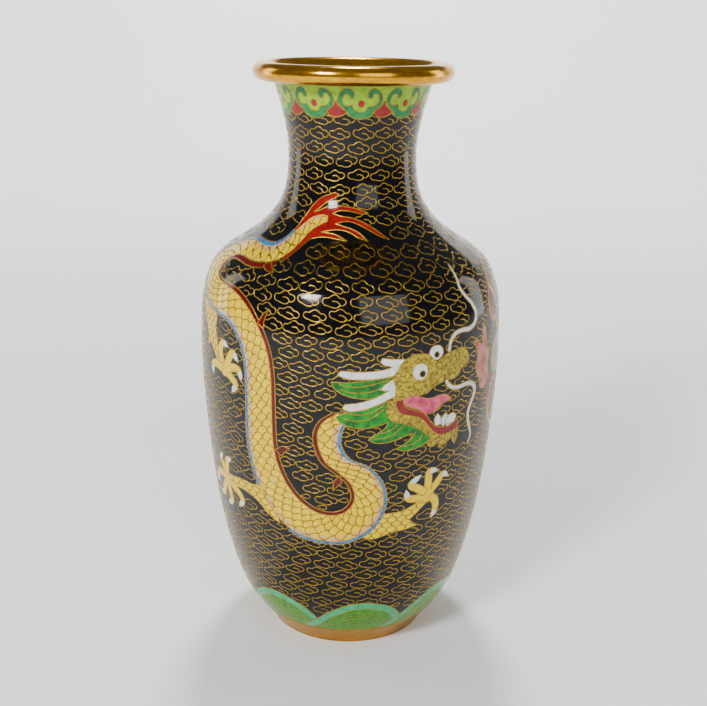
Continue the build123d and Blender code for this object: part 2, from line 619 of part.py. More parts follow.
def keep(name, solids):
    """Add cells to a named piece."""
    cells.setdefault(name, []).extend(solids)


def turned(solids, count):
    """Copies of solids spaced evenly round the axis."""
    return [one.rotate(Axis.Z, step * 360 / count) for step in range(count) for one in solids]


def facing_turn(solids, turn):
    """Solids turned round the axis."""
    return [one.rotate(Axis.Z, turn) for one in solids]


# --- collar of lappets ---------------------------------------------------------------------------
lappet_pitch = 360 / lappets
scroll_shape = outline(SCROLL, LAPPET_SPOT)
scallop_shape = outline(SCALLOP, LAPPET_SPOT)
dot_shape = disc(*DOT, LAPPET_SPOT)
scroll_wedge = wedges(scroll_shape)
scallop_wedge = wedges(scallop_shape)
dot_wedge = wedges(dot_shape)
scroll_wide = grown(scroll_shape, wire, LAPPET_SPOT)
scallop_wide = grown(scallop_shape, wire, LAPPET_SPOT)
dot_wide = grown(dot_shape, wire, LAPPET_SPOT)
scroll_foot = wedges(scroll_wide)
scallop_foot = wedges(scallop_wide)
dot_foot = wedges(dot_wide)
field_shape = outline([[point] for point in LAPPET_FIELD], LAPPET_SPOT)
field_wedge = wedges(field_shape)
next_scroll = facing_turn(scroll_foot, lappet_pitch)
last_scallop = facing_turn(scallop_foot, -lappet_pitch)

lappet = {
    "collar_scrolls": carved(scroll_shape),
    "collar_scallops": carved(scallop_shape, scroll_foot + next_scroll),
    "collar_dots": carved(dot_shape),
    "collar_field": carved(field_shape, scroll_foot + scallop_foot + last_scallop + dot_foot),
    "collar_wires": carved(scroll_wide, scroll_wedge)
    + carved(scallop_wide, scallop_wedge + scroll_foot + next_scroll)
    + carved(dot_wide, dot_wedge),
}
for name, solids in lappet.items():
    keep(name, turned(facing_turn(solids, lappet_turn), lappets))
cleared += turned(facing_turn(field_wedge + scroll_foot + scallop_foot, lappet_turn), lappets)

# --- border of hills -----------------------------------------------------------------------------
def hill_shape(depth):
    """The hill's outline moved in by a depth, closed below the foot ring's top."""
    top = shifted(HILL_OUTER, depth)
    start = (top[0][0], 6.0)
    end = (top[-1][0], 6.0)
    return outline([[top[0]], top[1:], [end], [start]], HILL_SPOT)


hill_whole = hill_shape(0)
hill_edge = hill_shape(wire)
hill_inner = hill_shape(HILL_BORDER)
hill_field = hill_shape(HILL_BORDER + wire)
hill_foot = wedges(hill_whole)
next_hill = facing_turn(hill_foot, 360 / hills)
hill = {
    "hill_borders": carved(hill_edge, wedges(hill_inner) + next_hill),
    "hill_fields": carved(hill_field, next_hill),
    "hill_wires": carved(hill_whole, wedges(hill_edge) + next_hill)
    + carved(hill_inner, wedges(hill_field) + next_hill),
}
for name, solids in hill.items():
    keep(name, turned(facing_turn(solids, hill_turn), hills))
cleared += turned(facing_turn(hill_foot, hill_turn), hills)

# --- the left dragon's head ------------------------------------------------------------------------
head_shapes = [
    ("pupils", disc(EYE[0] + 0.9, EYE[1] - 0.9, EYE[3], HEAD_SPOT)),
    ("eyes", disc(*EYE[:3], HEAD_SPOT)),
    ("teeth", joined([outline(tooth, HEAD_SPOT) for tooth in TEETH], HEAD_SPOT)),
    ("tongue", outline(TONGUE, HEAD_SPOT)),
    ("lip", outline(LIP, HEAD_SPOT)),
    ("horns", joined([outline(LOWER_HORN, HEAD_SPOT), outline(UPPER_HORN, HEAD_SPOT)], HEAD_SPOT)),
    ("head", joined([outline(SKULL, HEAD_SPOT), outline(JAW, HEAD_SPOT)], HEAD_SPOT)),
    ("pupils", disc(*FAR_EYE[:2], FAR_EYE[3], HEAD_SPOT)),
    ("eyes", disc(*FAR_EYE[:3], HEAD_SPOT)),
    ("mane", joined([outline(UPPER_MANE, HEAD_SPOT), outline(LOWER_MANE, HEAD_SPOT)], HEAD_SPOT)),
    ("whiskers", joined([ribbon(UPPER_WHISKER, [1.2, 1.7, 1.7, 1.5, 0.0], HEAD_SPOT),
                         ribbon(LOWER_WHISKER, [1.2, 1.7, 1.7, 1.5, 0.0], HEAD_SPOT)], HEAD_SPOT)),
]
dragon = {}
wedges_in_front = []
for name, shape in divided(head_shapes, HEAD_SPOT):
    dragon.setdefault(name, []).extend(carved(shape))
    wedges_in_front += wedges(shape)

# --- the left dragon's body ------------------------------------------------------------------------
last = len(RUNGS) - 1
trunk = strip(("back", 0), ("belly", 0), 0, last)
belly_side = strip(("belly", -BELLY_ROW), ("belly", 1), 1, last)
fins = joined([strip(("back", 0.5), ("back", -fin_width), *FIN_RUNGS)]
              + [outline(thorn, BODY_SPOT) for thorn in THORNS], BODY_SPOT)
edges = joined([strip(("belly", -0.4), ("belly", edge_width), *part) for part in EDGE_RUNGS],
               BODY_SPOT)
with BuildSketch(facing(BODY_SPOT)) as belly_row:
    add(trunk)
    add(belly_side, mode=Mode.INTERSECT)
body_shapes = [
    ("belly", belly_row.sketch),
    ("scales", less(trunk, [belly_side], BODY_SPOT)),
    ("fin", less(fins, [trunk], BODY_SPOT)),
    ("edge", less(edges, [trunk], BODY_SPOT)),
]
body_wedges = []
for name, shape in body_shapes:
    dragon[name] = carved(shape, wedges_in_front)
    body_wedges += wedges(shape)
wedges_in_front += body_wedges

# --- the left dragon's legs and tail flame -----------------------------------------------------------
for spot, shank, pad, toes in LEGS:
    shapes = [outline(shank, spot), disc(*pad, PAD_RADIUS, spot)]
    shapes += [ribbon(toe, [TOE_WIDTH, TOE_WIDTH, TOE_WIDTH * 0.7, 0.0], spot) for toe in toes]
    leg_shape = joined(shapes, spot)
    dragon.setdefault("legs", []).extend(carved(leg_shape, body_wedges))
    wedges_in_front += wedges(leg_shape)

flame_shape = outline(TAIL_FLAME, FLAME_SPOT)
dragon["tail"] = carved(flame_shape, body_wedges)
wedges_in_front += wedges(flame_shape)

# --- both dragons ----------------------------------------------------------------------------------
meridian = Plane(origin=(0, 0, 0), x_dir=(0, 0, 1),
                 z_dir=(cos(radians(pearl_turn)), sin(radians(pearl_turn)), 0))
for name, solids in dragon.items():
    keep("left_dragon_" + name, solids)
    keep("right_dragon_" + name, [solid.mirror(meridian) for solid in solids])
cleared += wedges_in_front
cleared += [tool.mirror(meridian) for tool in wedges_in_front]

# --- the flaming pearl -----------------------------------------------------------------------------
pearl_shapes = []
for radius, name in sorted(PEARL_RINGS):
    pearl_shapes.append((name, disc(pearl_turn, PEARL_LEVEL, radius, PEARL_SPOT, PEARL_SQUASH)))
side = outline(SIDE_FLAME, PEARL_SPOT)
flame_widths = [1.6, 2.6, 2.8, 2.0, 0.0]
for shape in (side, side.mirror(meridian), ribbon(HOOK_FLAME, flame_widths, PEARL_SPOT),
              ribbon(TOP_FLAME, flame_widths, PEARL_SPOT), ribbon(TAIL_WISP, flame_widths, PEARL_SPOT)):
    pearl_shapes.append(("pearl_flames", shape))
for name, shape in divided(pearl_shapes, PEARL_SPOT):
    keep(name, carved(shape))
    cleared += wedges(shape)

# --- the black ground: what is left of the layer -----------------------------------------------------
ground_pieces = [one for one in coat.cut(*cleared).solids() if abs(one.volume) > 0.04]

# --- named pieces -------------------------------------------------------------------------------------
os.makedirs("parts", exist_ok=True)
structure = {
    "copper_body": copper_body.part,
    "copper_neck": copper_neck.part,
    "base_disc": base_disc.part,
    "base_enamel": base_enamel.part,
    "foot_ring": foot_ring.part,
    "rim_ring": rim_ring.part,
    "lining_enamel": lining_enamel.part,
}
for name, part in structure.items():
    part.label = name
    export_step(part, f"parts/{name}.step")
keep("ground_enamel", ground_pieces)
for name, solids in cells.items():
    piece = Part(children=solids, label=name)
    export_step(piece, f"parts/{name}.step")
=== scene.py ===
import math
import random

import bpy
import numpy as np
from mathutils import Matrix, Vector
from mathutils.geometry import delaunay_2d_cdt


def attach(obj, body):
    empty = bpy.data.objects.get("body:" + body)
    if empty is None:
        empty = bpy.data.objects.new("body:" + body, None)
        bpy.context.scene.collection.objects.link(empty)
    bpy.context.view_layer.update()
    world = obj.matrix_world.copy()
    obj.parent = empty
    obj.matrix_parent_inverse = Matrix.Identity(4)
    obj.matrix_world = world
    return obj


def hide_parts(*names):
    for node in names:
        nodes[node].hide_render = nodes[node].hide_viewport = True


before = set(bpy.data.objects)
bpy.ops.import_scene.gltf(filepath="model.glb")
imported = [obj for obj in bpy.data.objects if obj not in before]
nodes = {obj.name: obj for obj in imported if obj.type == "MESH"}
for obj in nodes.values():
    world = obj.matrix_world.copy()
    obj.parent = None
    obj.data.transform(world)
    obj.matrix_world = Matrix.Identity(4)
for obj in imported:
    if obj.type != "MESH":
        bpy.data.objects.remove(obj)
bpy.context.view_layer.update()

# Decoration points are (angle, height): degrees round the axis from the front towards +X, and
# millimetres above the floor. Lifts are millimetres out from the smooth ground.
SINK = 0.1  # the ground lies this far inside the part's own surface, so wires stay within it
WIRE = 0.37
WIRE_LIFT = 0.055
CELL_LIFT = 0.03
PEARL_TURN = 75.0
random.seed(7)

PROFILE = [(9.2, 38.6), (17.25, 43.6), (27.6, 47.7), (39.1, 50.9), (52.9, 53.8), (71.3, 56.4),
           (92.0, 58.5), (112.7, 59.7), (121.0, 59.8), (131.1, 59.55), (144.9, 58.0), (150.5, 56.1),
           (154.1, 54.3), (158.0, 50.4), (163.3, 42.6), (168.0, 36.0), (172.5, 31.5), (178.0, 27.9),
           (184.0, 25.8), (190.0, 25.0), (197.8, 24.8), (209.3, 26.45), (219.65, 29.3), (224.0, 30.8)]


def cubic(stations):
    """Second derivatives of a natural cubic through the stations."""
    x = np.array([s[0] for s in stations])
    y = np.array([s[1] for s in stations])
    n = len(x)
    step = np.diff(x)
    a = np.eye(n)
    b = np.zeros(n)
    for i in range(1, n - 1):
        a[i, i - 1] = step[i - 1]
        a[i, i] = 2 * (step[i - 1] + step[i])
        a[i, i + 1] = step[i]
        b[i] = 6 * ((y[i + 1] - y[i]) / step[i] - (y[i] - y[i - 1]) / step[i - 1])
    return x, y, np.linalg.solve(a, b)


CX, CY, CM = cubic(PROFILE)


def radius(z):
    z = np.clip(np.asarray(z, float), CX[0], CX[-1])
    i = np.clip(np.searchsorted(CX, z) - 1, 0, len(CX) - 2)
    h = CX[i + 1] - CX[i]
    u = (CX[i + 1] - z) / h
    v = (z - CX[i]) / h
    return u * CY[i] + v * CY[i + 1] + ((u**3 - u) * CM[i] + (v**3 - v) * CM[i + 1]) * h * h / 6


def surface(points, lift=0.0):
    """Places (angle, height) points on the vase. Returns positions in metres and normals."""
    p = np.asarray(points, float).reshape(-1, 2)
    slope = (radius(p[:, 1] + 0.05) - radius(p[:, 1] - 0.05)) / 0.1
    size = np.sqrt(1 + slope**2)
    out, up = 1 / size, -slope / size
    lift = np.asarray(lift) - SINK
    r = radius(p[:, 1]) + lift * out
    a = np.radians(p[:, 0])
    place = np.stack([r * np.sin(a), -r * np.cos(a), p[:, 1] + lift * up], 1) / 1000
    normal = np.stack([out * np.sin(a), -out * np.cos(a), up], 1)
    return place, normal


def to_mm(points):
    """Flattens (angle, height) points to millimetres on the surface."""
    p = np.asarray(points, float).reshape(-1, 2)
    scale = math.radians(float(radius(p[:, 1].mean())))
    return p * [scale, 1.0], scale


def smooth(points, step=0.35):
    """Even points along a rounded line through the given ones."""
    p, scale = to_mm(points)
    if len(p) == 2:
        count = max(int(np.linalg.norm(p[1] - p[0]) / step), 1)
        t = np.linspace(0, 1, count + 1)[:, None]
        return (p[0] * (1 - t) + p[1] * t) / [scale, 1.0]
    ends = [2 * p[0] - p[1], *p, 2 * p[-1] - p[-2]]
    line = [p[0]]
    for a, b, c, d in zip(ends, ends[1:], ends[2:], ends[3:]):
        ab, bc, cd = (max(np.linalg.norm(e) ** 0.5, 1e-6) for e in (b - a, c - b, d - c))
        m1 = (c - b) + bc * ((b - a) / ab - (c - a) / (ab + bc))
        m2 = (c - b) + bc * ((d - c) / cd - (d - b) / (bc + cd))
        count = max(int(np.linalg.norm(c - b) / step), 1)
        for t in np.linspace(0, 1, count + 1)[1:]:
            line.append((2 * t**3 - 3 * t**2 + 1) * b + (t**3 - 2 * t**2 + t) * m1
                        + (-2 * t**3 + 3 * t**2) * c + (t**3 - t**2) * m2)
    return np.array(line) / [scale, 1.0]


def closed(runs):
    """A closed outline; each run is rounded, and corners fall where one run ends."""
    start = runs[-1][-1]
    line = []
    for run in runs:
        line += list(smooth([start, *run]))[1:]
        start = run[-1]
    return np.array(line)


def shifted(points, distance):
    """A line moved sideways to its right, by millimetres on the surface."""
    p, scale = to_mm(points)
    along = np.gradient(p, axis=0)
    along /= np.maximum(np.linalg.norm(along, axis=1), 1e-9)[:, None]
    side = np.stack([along[:, 1], -along[:, 0]], 1)
    return (p + side * np.asarray(distance).reshape(-1, 1)) / [scale, 1.0]


def ribbon(points, widths):
    """A closed band along a line, as wide as widths says from one end to the other."""
    line = smooth(points)
    share = np.linspace(0, len(widths) - 1, len(line))
    width = np.interp(share, range(len(widths)), widths) / 2
    return np.vstack([shifted(line, -width), shifted(line, width)[::-1]])


def ring(angle, level, wide, high=None, count=40):
    """A closed oval of the given half sizes, in millimetres."""
    high = wide if high is None else high
    turn = np.linspace(0, 2 * math.pi, count, endpoint=False)
    scale = math.radians(float(radius(level)))
    return np.stack([angle + wide * np.cos(turn) / scale, level + high * np.sin(turn)], 1)


def inside(points, shape):
    """Which points lie inside a closed outline."""
    p = np.asarray(points, float)
    low, high = shape.min(0), shape.max(0)
    hit = np.zeros(len(p), bool)
    near = np.where(((p >= low) & (p <= high)).all(1))[0]
    if len(near) == 0:
        return hit
    x, y = p[near, 0][:, None], p[near, 1][:, None]
    x0, y0 = shape[:, 0][None], shape[:, 1][None]
    x1, y1 = np.roll(x0, -1, 1), np.roll(y0, -1, 1)
    cross = (y0 > y) != (y1 > y)
    rise = np.where(y1 == y0, 1e-12, y1 - y0)
    hit[near] = (cross & (x < (x1 - x0) * (y - y0) / rise + x0)).sum(1) % 2 == 1
    return hit


def outside_runs(line, shapes, within=None):
    """The stretches of a line that lie in none of the shapes, and inside one if it is given."""
    free = np.ones(len(line), bool)
    for shape in shapes:
        free &= ~inside(line, shape)
    if within is not None:
        free &= inside(line, within)
    runs, start = [], None
    for i, ok in enumerate(list(free) + [False]):
        if ok and start is None:
            start = i
        if not ok and start is not None:
            if i - start > 2:
                runs.append(line[start:i])
            start = None
    return runs


# --- meshes ---
def mesh_piece(name, verts, faces, material, normals=None):
    data = bpy.data.meshes.new(name)
    data.from_pydata([tuple(v) for v in verts], [], [tuple(f) for f in faces])
    data.update()
    data.shade_smooth()
    if normals is not None:
        data.normals_split_custom_set_from_vertices([tuple(n) for n in normals])
    data.materials.append(material)
    piece = bpy.data.objects.new(name, data)
    bpy.context.scene.collection.objects.link(piece)
    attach(piece, "root")
    return piece


def overlap(one, other):
    """Whether the boxes of two outlines meet."""
    return bool((one.min(0) < other.max(0)).all() and (other.min(0) < one.max(0)).all())


def fill(shape, covers=(), spacing=1.1):
    """Triangles inside a closed outline and outside the covers: (angle, height) points and faces."""
    flat, scale = to_mm(shape)
    size = [scale, 1.0]
    low, high = flat.min(0), flat.max(0)
    gx = np.arange(low[0] + spacing / 2, high[0], spacing)
    gy = np.arange(low[1] + spacing / 2, high[1], spacing)
    grid = np.stack(np.meshgrid(gx, gy), -1).reshape(-1, 2)
    grid = grid[inside(grid, flat)] if len(grid) else grid
    points = [Vector(p) for p in flat]
    edges = [(i, (i + 1) % len(flat)) for i in range(len(flat))]
    near = [cover * size for cover in covers if overlap(cover, shape)]
    for cover in near:
        start = len(points)
        points += [Vector(p) for p in cover]
        edges += [(start + i, start + (i + 1) % len(cover)) for i in range(len(cover))]
    points += [Vector(p) for p in grid]
    verts, _, faces, *_ = delaunay_2d_cdt(points, edges, [list(range(len(flat)))], 1, 1e-4)
    verts = np.array([(v[0], v[1]) for v in verts])
    faces = [list(f) for f in faces]
    if near and faces:
        middle = np.array([verts[f].mean(0) for f in faces])
        bare = inside(middle, flat)
        for cover in near:
            bare &= ~inside(middle, cover)
        faces = [f for f, ok in zip(faces, bare) if ok]
    return verts / size, faces


class Cells:
    """Collects filled outlines of one colour into one mesh."""

    def __init__(self):
        self.points, self.normals, self.faces = [], [], []
        self.count = 0

    def add(self, points, faces, lift):
        place, normal = surface(points, lift)
        self.points.append(place)
        self.normals.append(normal)
        for face in faces:
            a, b, c = place[face[0]], place[face[1]], place[face[2]]
            if np.dot(np.cross(b - a, c - a), normal[face[0]]) < 0:
                face = face[::-1]
            self.faces.append([i + self.count for i in face])
        self.count += len(place)

    def piece(self, name, material):
        return mesh_piece(name, np.vstack(self.points), self.faces, material, np.vstack(self.normals))


class Wires:
    """Collects wire lines into one mesh: a low rounded ridge along each line."""

    ACROSS = ((-0.5, -0.03), (-0.32, 0.022), (0.0, 0.036), (0.32, 0.022), (0.5, -0.03))

    def __init__(self):
        self.points, self.faces, self.count = [], [], 0

    def add(self, line, width=WIRE, lift=WIRE_LIFT, loop=False):
        line = np.asarray(line, float)
        if len(line) < 2:
            return
        if loop:
            line = np.vstack([line, line[:1], line[1:2]])
        p, scale = to_mm(line)
        along = np.gradient(p, axis=0)
        if loop:
            along[0] = along[-2]
            along[-1] = along[1]
        along /= np.maximum(np.linalg.norm(along, axis=1), 1e-9)[:, None]
        side = np.stack([along[:, 1], -along[:, 0]], 1)
        if loop:
            p, side = p[:-1], side[:-1]
            side[-1] = side[0]
        rows = []
        for share, rise in self.ACROSS:
            place, _ = surface((p + side * share * width) / [scale, 1.0], lift + rise)
            rows.append(place)
        n = len(p)
        wide = len(rows)
        self.points.append(np.stack(rows, 1).reshape(-1, 3))
        base = self.count
        for i in range(n - 1):
            for j in range(wide - 1):
                a = base + i * wide + j
                self.faces.append((a, a + 1, a + wide + 1, a + wide))
        self.count += n * wide

    def piece(self, name, material):
        return mesh_piece(name, np.vstack(self.points), self.faces, material)


def spun(name, section, material, steps):
    """A piece turned from a section of (radius, height) points in millimetres."""
    verts, faces = [], []
    n = len(section)
    for k in range(steps):
        a = 2 * math.pi * k / steps
        for r, z in section:
            verts.append((r * math.sin(a) / 1000, -r * math.cos(a) / 1000, z / 1000))
    for k in range(steps):
        m = (k + 1) % steps
        for i in range(n):
            j = (i + 1) % n
            faces.append((k * n + i, m * n + i, m * n + j, k * n + j))
    return mesh_piece(name, verts, faces, material)


# --- the dragon's body: (angle, height) on the back, then on the belly, from tail to neck ---
RUNGS = [
    (-17.0, 174.4, -17.5, 176.0), (-21.5, 173.2, -22.5, 176.2), (-26.0, 171.4, -29.0, 175.2),
    (-29.3, 168.2, -34.0, 172.8), (-31.6, 164.8, -38.2, 169.8), (-36.0, 161.4, -41.8, 166.4),
    (-42.5, 160.0, -46.0, 164.8), (-50.0, 159.8, -52.5, 164.4), (-57.5, 160.2, -61.0, 164.8),
    (-63.8, 159.8, -70.5, 164.0), (-67.0, 157.9, -79.5, 160.8), (-67.0, 155.3, -84.0, 155.0),
    (-64.5, 152.4, -80.5, 149.0), (-60.0, 151.0, -73.0, 144.6), (-54.0, 150.3, -64.0, 141.5),
    (-47.0, 148.9, -54.0, 140.2), (-40.8, 145.8, -47.4, 138.2), (-36.2, 141.5, -43.2, 134.2),
    (-32.4, 136.3, -40.6, 129.6), (-29.8, 130.0, -39.3, 124.0), (-28.5, 122.0, -38.9, 117.0),
    (-28.3, 113.0, -39.0, 109.0), (-28.4, 103.5, -39.5, 100.5), (-28.3, 95.0, -39.5, 92.5),
    (-26.9, 87.2, -38.5, 84.8), (-23.7, 79.8, -35.8, 76.0), (-18.8, 73.6, -31.5, 67.8),
    (-12.5, 69.4, -23.5, 60.3), (-6.5, 68.3, -12.5, 57.1), (-1.6, 69.6, -1.0, 57.3),
    (1.8, 73.2, 9.0, 62.8), (2.5, 77.6, 13.4, 71.8), (0.6, 82.6, 12.4, 81.0),
    (-3.8, 86.9, 6.6, 88.5), (-8.2, 90.7, -0.4, 92.0), (-10.6, 96.5, -3.7, 97.3),
    (-10.9, 102.3, -3.4, 103.0), (-8.6, 107.0, -1.5, 106.8), (-4.0, 110.2, 0.5, 109.0),
]


FIN_RUNGS = (5, 38)
EDGE_RUNGS = ((4, 25), (27, 38))
BELLY_ROW = 2.3  # width of the row of pale scales along the belly
THORNS = [
    [[(-36.5, 159.6), (-33.5, 157.9)], [(-37.0, 158.0), (-41.0, 159.3)], [(-39.0, 161.0)]],
    [[(-32.4, 144.2), (-30.3, 146.1)], [(-31.6, 142.4), (-31.8, 139.0)], [(-34.5, 140.5)]],
    [[(-24.4, 95.0), (-21.4, 94.2)], [(-23.9, 92.6), (-24.9, 90.6)], [(-27.5, 93.0)]],
    [[(-5.2, 82.6), (-5.5, 78.8)], [(-4.0, 80.8), (-2.2, 82.4)], [(-3.0, 85.5)]],
]
TAIL_FLAME = [
    [(-38.3, 172.0), (-37.0, 174.0), (-35.0, 176.3), (-33.0, 178.3), (-30.0, 180.3), (-27.0, 181.6),
     (-23.0, 182.8), (-18.0, 183.5), (-14.0, 184.2), (-10.0, 183.4)],
    [(-14.0, 182.2), (-18.0, 181.3), (-22.0, 180.0), (-26.0, 178.3), (-29.8, 177.0)],
    [(-25.0, 177.8), (-20.0, 179.0), (-15.0, 179.6), (-8.0, 179.6), (0.0, 179.2), (6.0, 178.5),
     (12.8, 177.2)],
    [(8.0, 177.0), (3.0, 177.5), (-3.0, 178.0), (-9.0, 178.0), (-14.2, 177.0)],
    [(-8.0, 176.2), (-2.0, 175.9), (4.0, 175.2), (10.0, 173.8), (16.0, 171.9), (23.5, 168.5)],
    [(18.0, 169.7), (13.0, 171.3), (7.0, 173.0), (2.0, 174.1), (-4.0, 174.5), (-11.3, 173.6)],
    [(-5.0, 172.9), (0.0, 172.2), (5.0, 170.9), (10.2, 168.3)],
    [(4.0, 169.6), (0.0, 170.8), (-5.0, 171.6), (-11.0, 171.7), (-20.0, 170.8)],
    [(-12.0, 170.5), (-8.0, 169.9), (-2.2, 168.4)],
    [(-7.0, 168.8), (-12.0, 169.2), (-18.0, 169.3), (-22.0, 168.9), (-25.0, 168.3), (-29.0, 165.0),
     (-33.2, 160.6)],
    [(-34.0, 163.5), (-36.0, 168.0), (-39.2, 170.4)],
]

# --- the dragon's head ---
EYE = (25.4, 124.7, 3.2, 1.2)  # angle, height, radius of the white, radius of the pupil
FAR_EYE = (31.8, 131.0, 2.8, 1.1)
UPPER_HORN = [
    [(-3.0, 126.2), (3.0, 126.1), (9.0, 126.3), (13.0, 126.9), (15.0, 127.6)],
    [(12.0, 128.4), (10.7, 129.6), (11.5, 131.0)],
    [(14.0, 130.6), (20.0, 130.0)],
    [(18.0, 128.2), (17.0, 126.3), (15.5, 124.2)],
    [(9.0, 123.3), (4.0, 123.2), (0.0, 123.4), (-4.2, 124.8)],
]
LOWER_HORN = [
    [(-1.5, 113.6), (3.0, 114.4), (7.0, 115.5), (11.0, 117.2), (14.0, 118.9)],
    [(12.6, 118.7), (10.6, 119.3)],
    [(12.5, 121.2), (15.2, 123.0)],
    [(16.2, 120.0), (16.2, 116.4)],
    [(13.0, 115.0), (9.0, 113.1), (5.0, 111.8), (0.0, 111.2), (-2.3, 112.2)],
]
UPPER_MANE = [
    [(9.0, 123.2), (4.0, 122.7), (0.0, 122.2), (-6.2, 122.2)],
    [(-5.4, 120.3), (-3.4, 118.4), (-0.5, 117.0), (3.0, 116.2), (7.0, 116.0), (12.0, 117.6),
     (16.5, 121.0)],
    [(15.6, 123.8)],
]
LOWER_MANE = [
    [(12.0, 114.2), (9.0, 113.0), (5.0, 111.7), (0.0, 110.9), (-4.5, 109.2)],
    [(-3.8, 107.8), (-2.0, 106.2), (1.0, 105.0), (5.0, 104.5), (9.0, 105.0), (14.0, 106.6)],
    [(13.0, 104.5), (10.5, 102.4), (7.0, 99.9)],
    [(9.5, 98.6), (14.0, 98.5), (19.0, 100.0), (23.3, 101.2)],
    [(22.6, 99.2), (20.5, 97.3), (17.5, 95.6)],
    [(20.0, 94.5), (25.0, 94.8), (29.0, 96.2), (31.6, 97.8)],
    [(29.0, 100.0), (26.5, 102.3), (23.5, 104.0), (20.0, 105.4), (16.5, 106.5), (14.5, 107.8),
     (13.6, 109.5), (13.6, 112.0), (15.0, 115.0)],
]
SKULL = [
    [(15.6, 124.0), (17.0, 127.0), (19.5, 129.7), (22.5, 131.1), (26.0, 131.4), (28.5, 130.7),
     (30.5, 129.0), (32.2, 127.3)],
    [(34.0, 128.4), (36.5, 129.8), (40.0, 130.4), (43.0, 130.9), (45.5, 130.0), (47.2, 128.0),
     (48.0, 126.0), (47.2, 124.2), (43.5, 122.6)],
    [(42.5, 120.9), (40.5, 119.8), (38.5, 119.7), (36.0, 119.8), (34.0, 119.2), (31.0, 118.2),
     (28.5, 116.4), (26.0, 115.9), (22.0, 115.7), (18.0, 114.9), (15.6, 114.4)],
    [(15.0, 118.0), (15.0, 122.0)],
]
JAW = [
    [(14.0, 114.6), (13.2, 112.0), (13.4, 109.4), (14.5, 107.6), (16.5, 106.3), (20.0, 105.2),
     (23.5, 103.8), (26.5, 102.0), (29.0, 99.8), (31.0, 98.0)],
    [(29.8, 96.6), (29.9, 95.0), (32.0, 94.4), (35.0, 95.3)],
    [(34.9, 94.0), (35.5, 92.8)],
    [(38.0, 94.1), (41.5, 96.3)],
    [(41.5, 94.6), (43.0, 92.9)],
    [(44.0, 95.4), (43.7, 99.6)],
    [(40.0, 98.6), (36.0, 98.4), (33.0, 99.6), (30.5, 102.0), (28.0, 105.2), (25.5, 107.3),
     (22.0, 108.5), (18.5, 109.8), (16.9, 112.0), (16.5, 114.7)],
]
LIP = [
    [(19.6, 112.8), (21.0, 111.3), (24.0, 110.0), (27.0, 108.8), (29.0, 106.8), (31.0, 104.1),
     (33.5, 102.2), (36.5, 101.3), (40.0, 101.3), (42.8, 103.4)],
    [(43.7, 101.8), (43.6, 99.2)],
    [(40.0, 98.4), (36.0, 98.2), (33.0, 99.4), (30.5, 101.8), (28.0, 105.0), (25.5, 107.1),
     (22.0, 108.3), (18.5, 109.6), (16.8, 112.0), (16.3, 114.8)],
    [(19.2, 114.8)],
]
TONGUE = [
    [(22.0, 116.0), (25.0, 115.5), (28.0, 114.2), (31.0, 114.0), (34.0, 114.6), (36.5, 114.2),
     (39.6, 111.7)],
    [(36.5, 111.2), (34.5, 110.3), (32.5, 108.7), (30.0, 107.9), (27.5, 108.5), (25.0, 110.2),
     (22.0, 111.3), (20.0, 112.8), (19.2, 114.8)],
]
TEETH = [
    [[(37.2, 103.6), (38.6, 105.6), (40.8, 106.2)], [(42.4, 104.6), (41.8, 102.4)], [(38.0, 101.0)]],
    [[(35.0, 104.6), (37.0, 106.9)], [(38.4, 105.0), (37.9, 102.8)], [(36.0, 101.2)]],
    [[(32.0, 105.0), (33.3, 107.4)], [(35.1, 105.0), (35.4, 102.6)], [(32.8, 102.4)]],
]
UPPER_WHISKER = [(37.5, 130.4), (38.2, 134.0), (40.4, 136.6), (44.0, 137.3), (48.0, 137.1),
                 (51.2, 138.4), (52.8, 141.6), (51.2, 145.6), (48.0, 149.2), (46.1, 152.4),
                 (46.8, 156.0), (48.0, 159.6)]
LOWER_WHISKER = [(36.5, 121.0), (37.0, 118.4), (39.4, 116.4), (42.5, 115.7), (46.0, 116.0),
                 (50.0, 115.4), (52.3, 113.2), (52.2, 110.2), (50.4, 107.0), (49.3, 103.6),
                 (50.0, 100.0), (51.6, 96.6), (52.6, 93.6), (51.4, 90.4)]
WHISKER_WIDTHS = [1.3, 1.7, 1.8, 1.7, 1.4, 0.9]

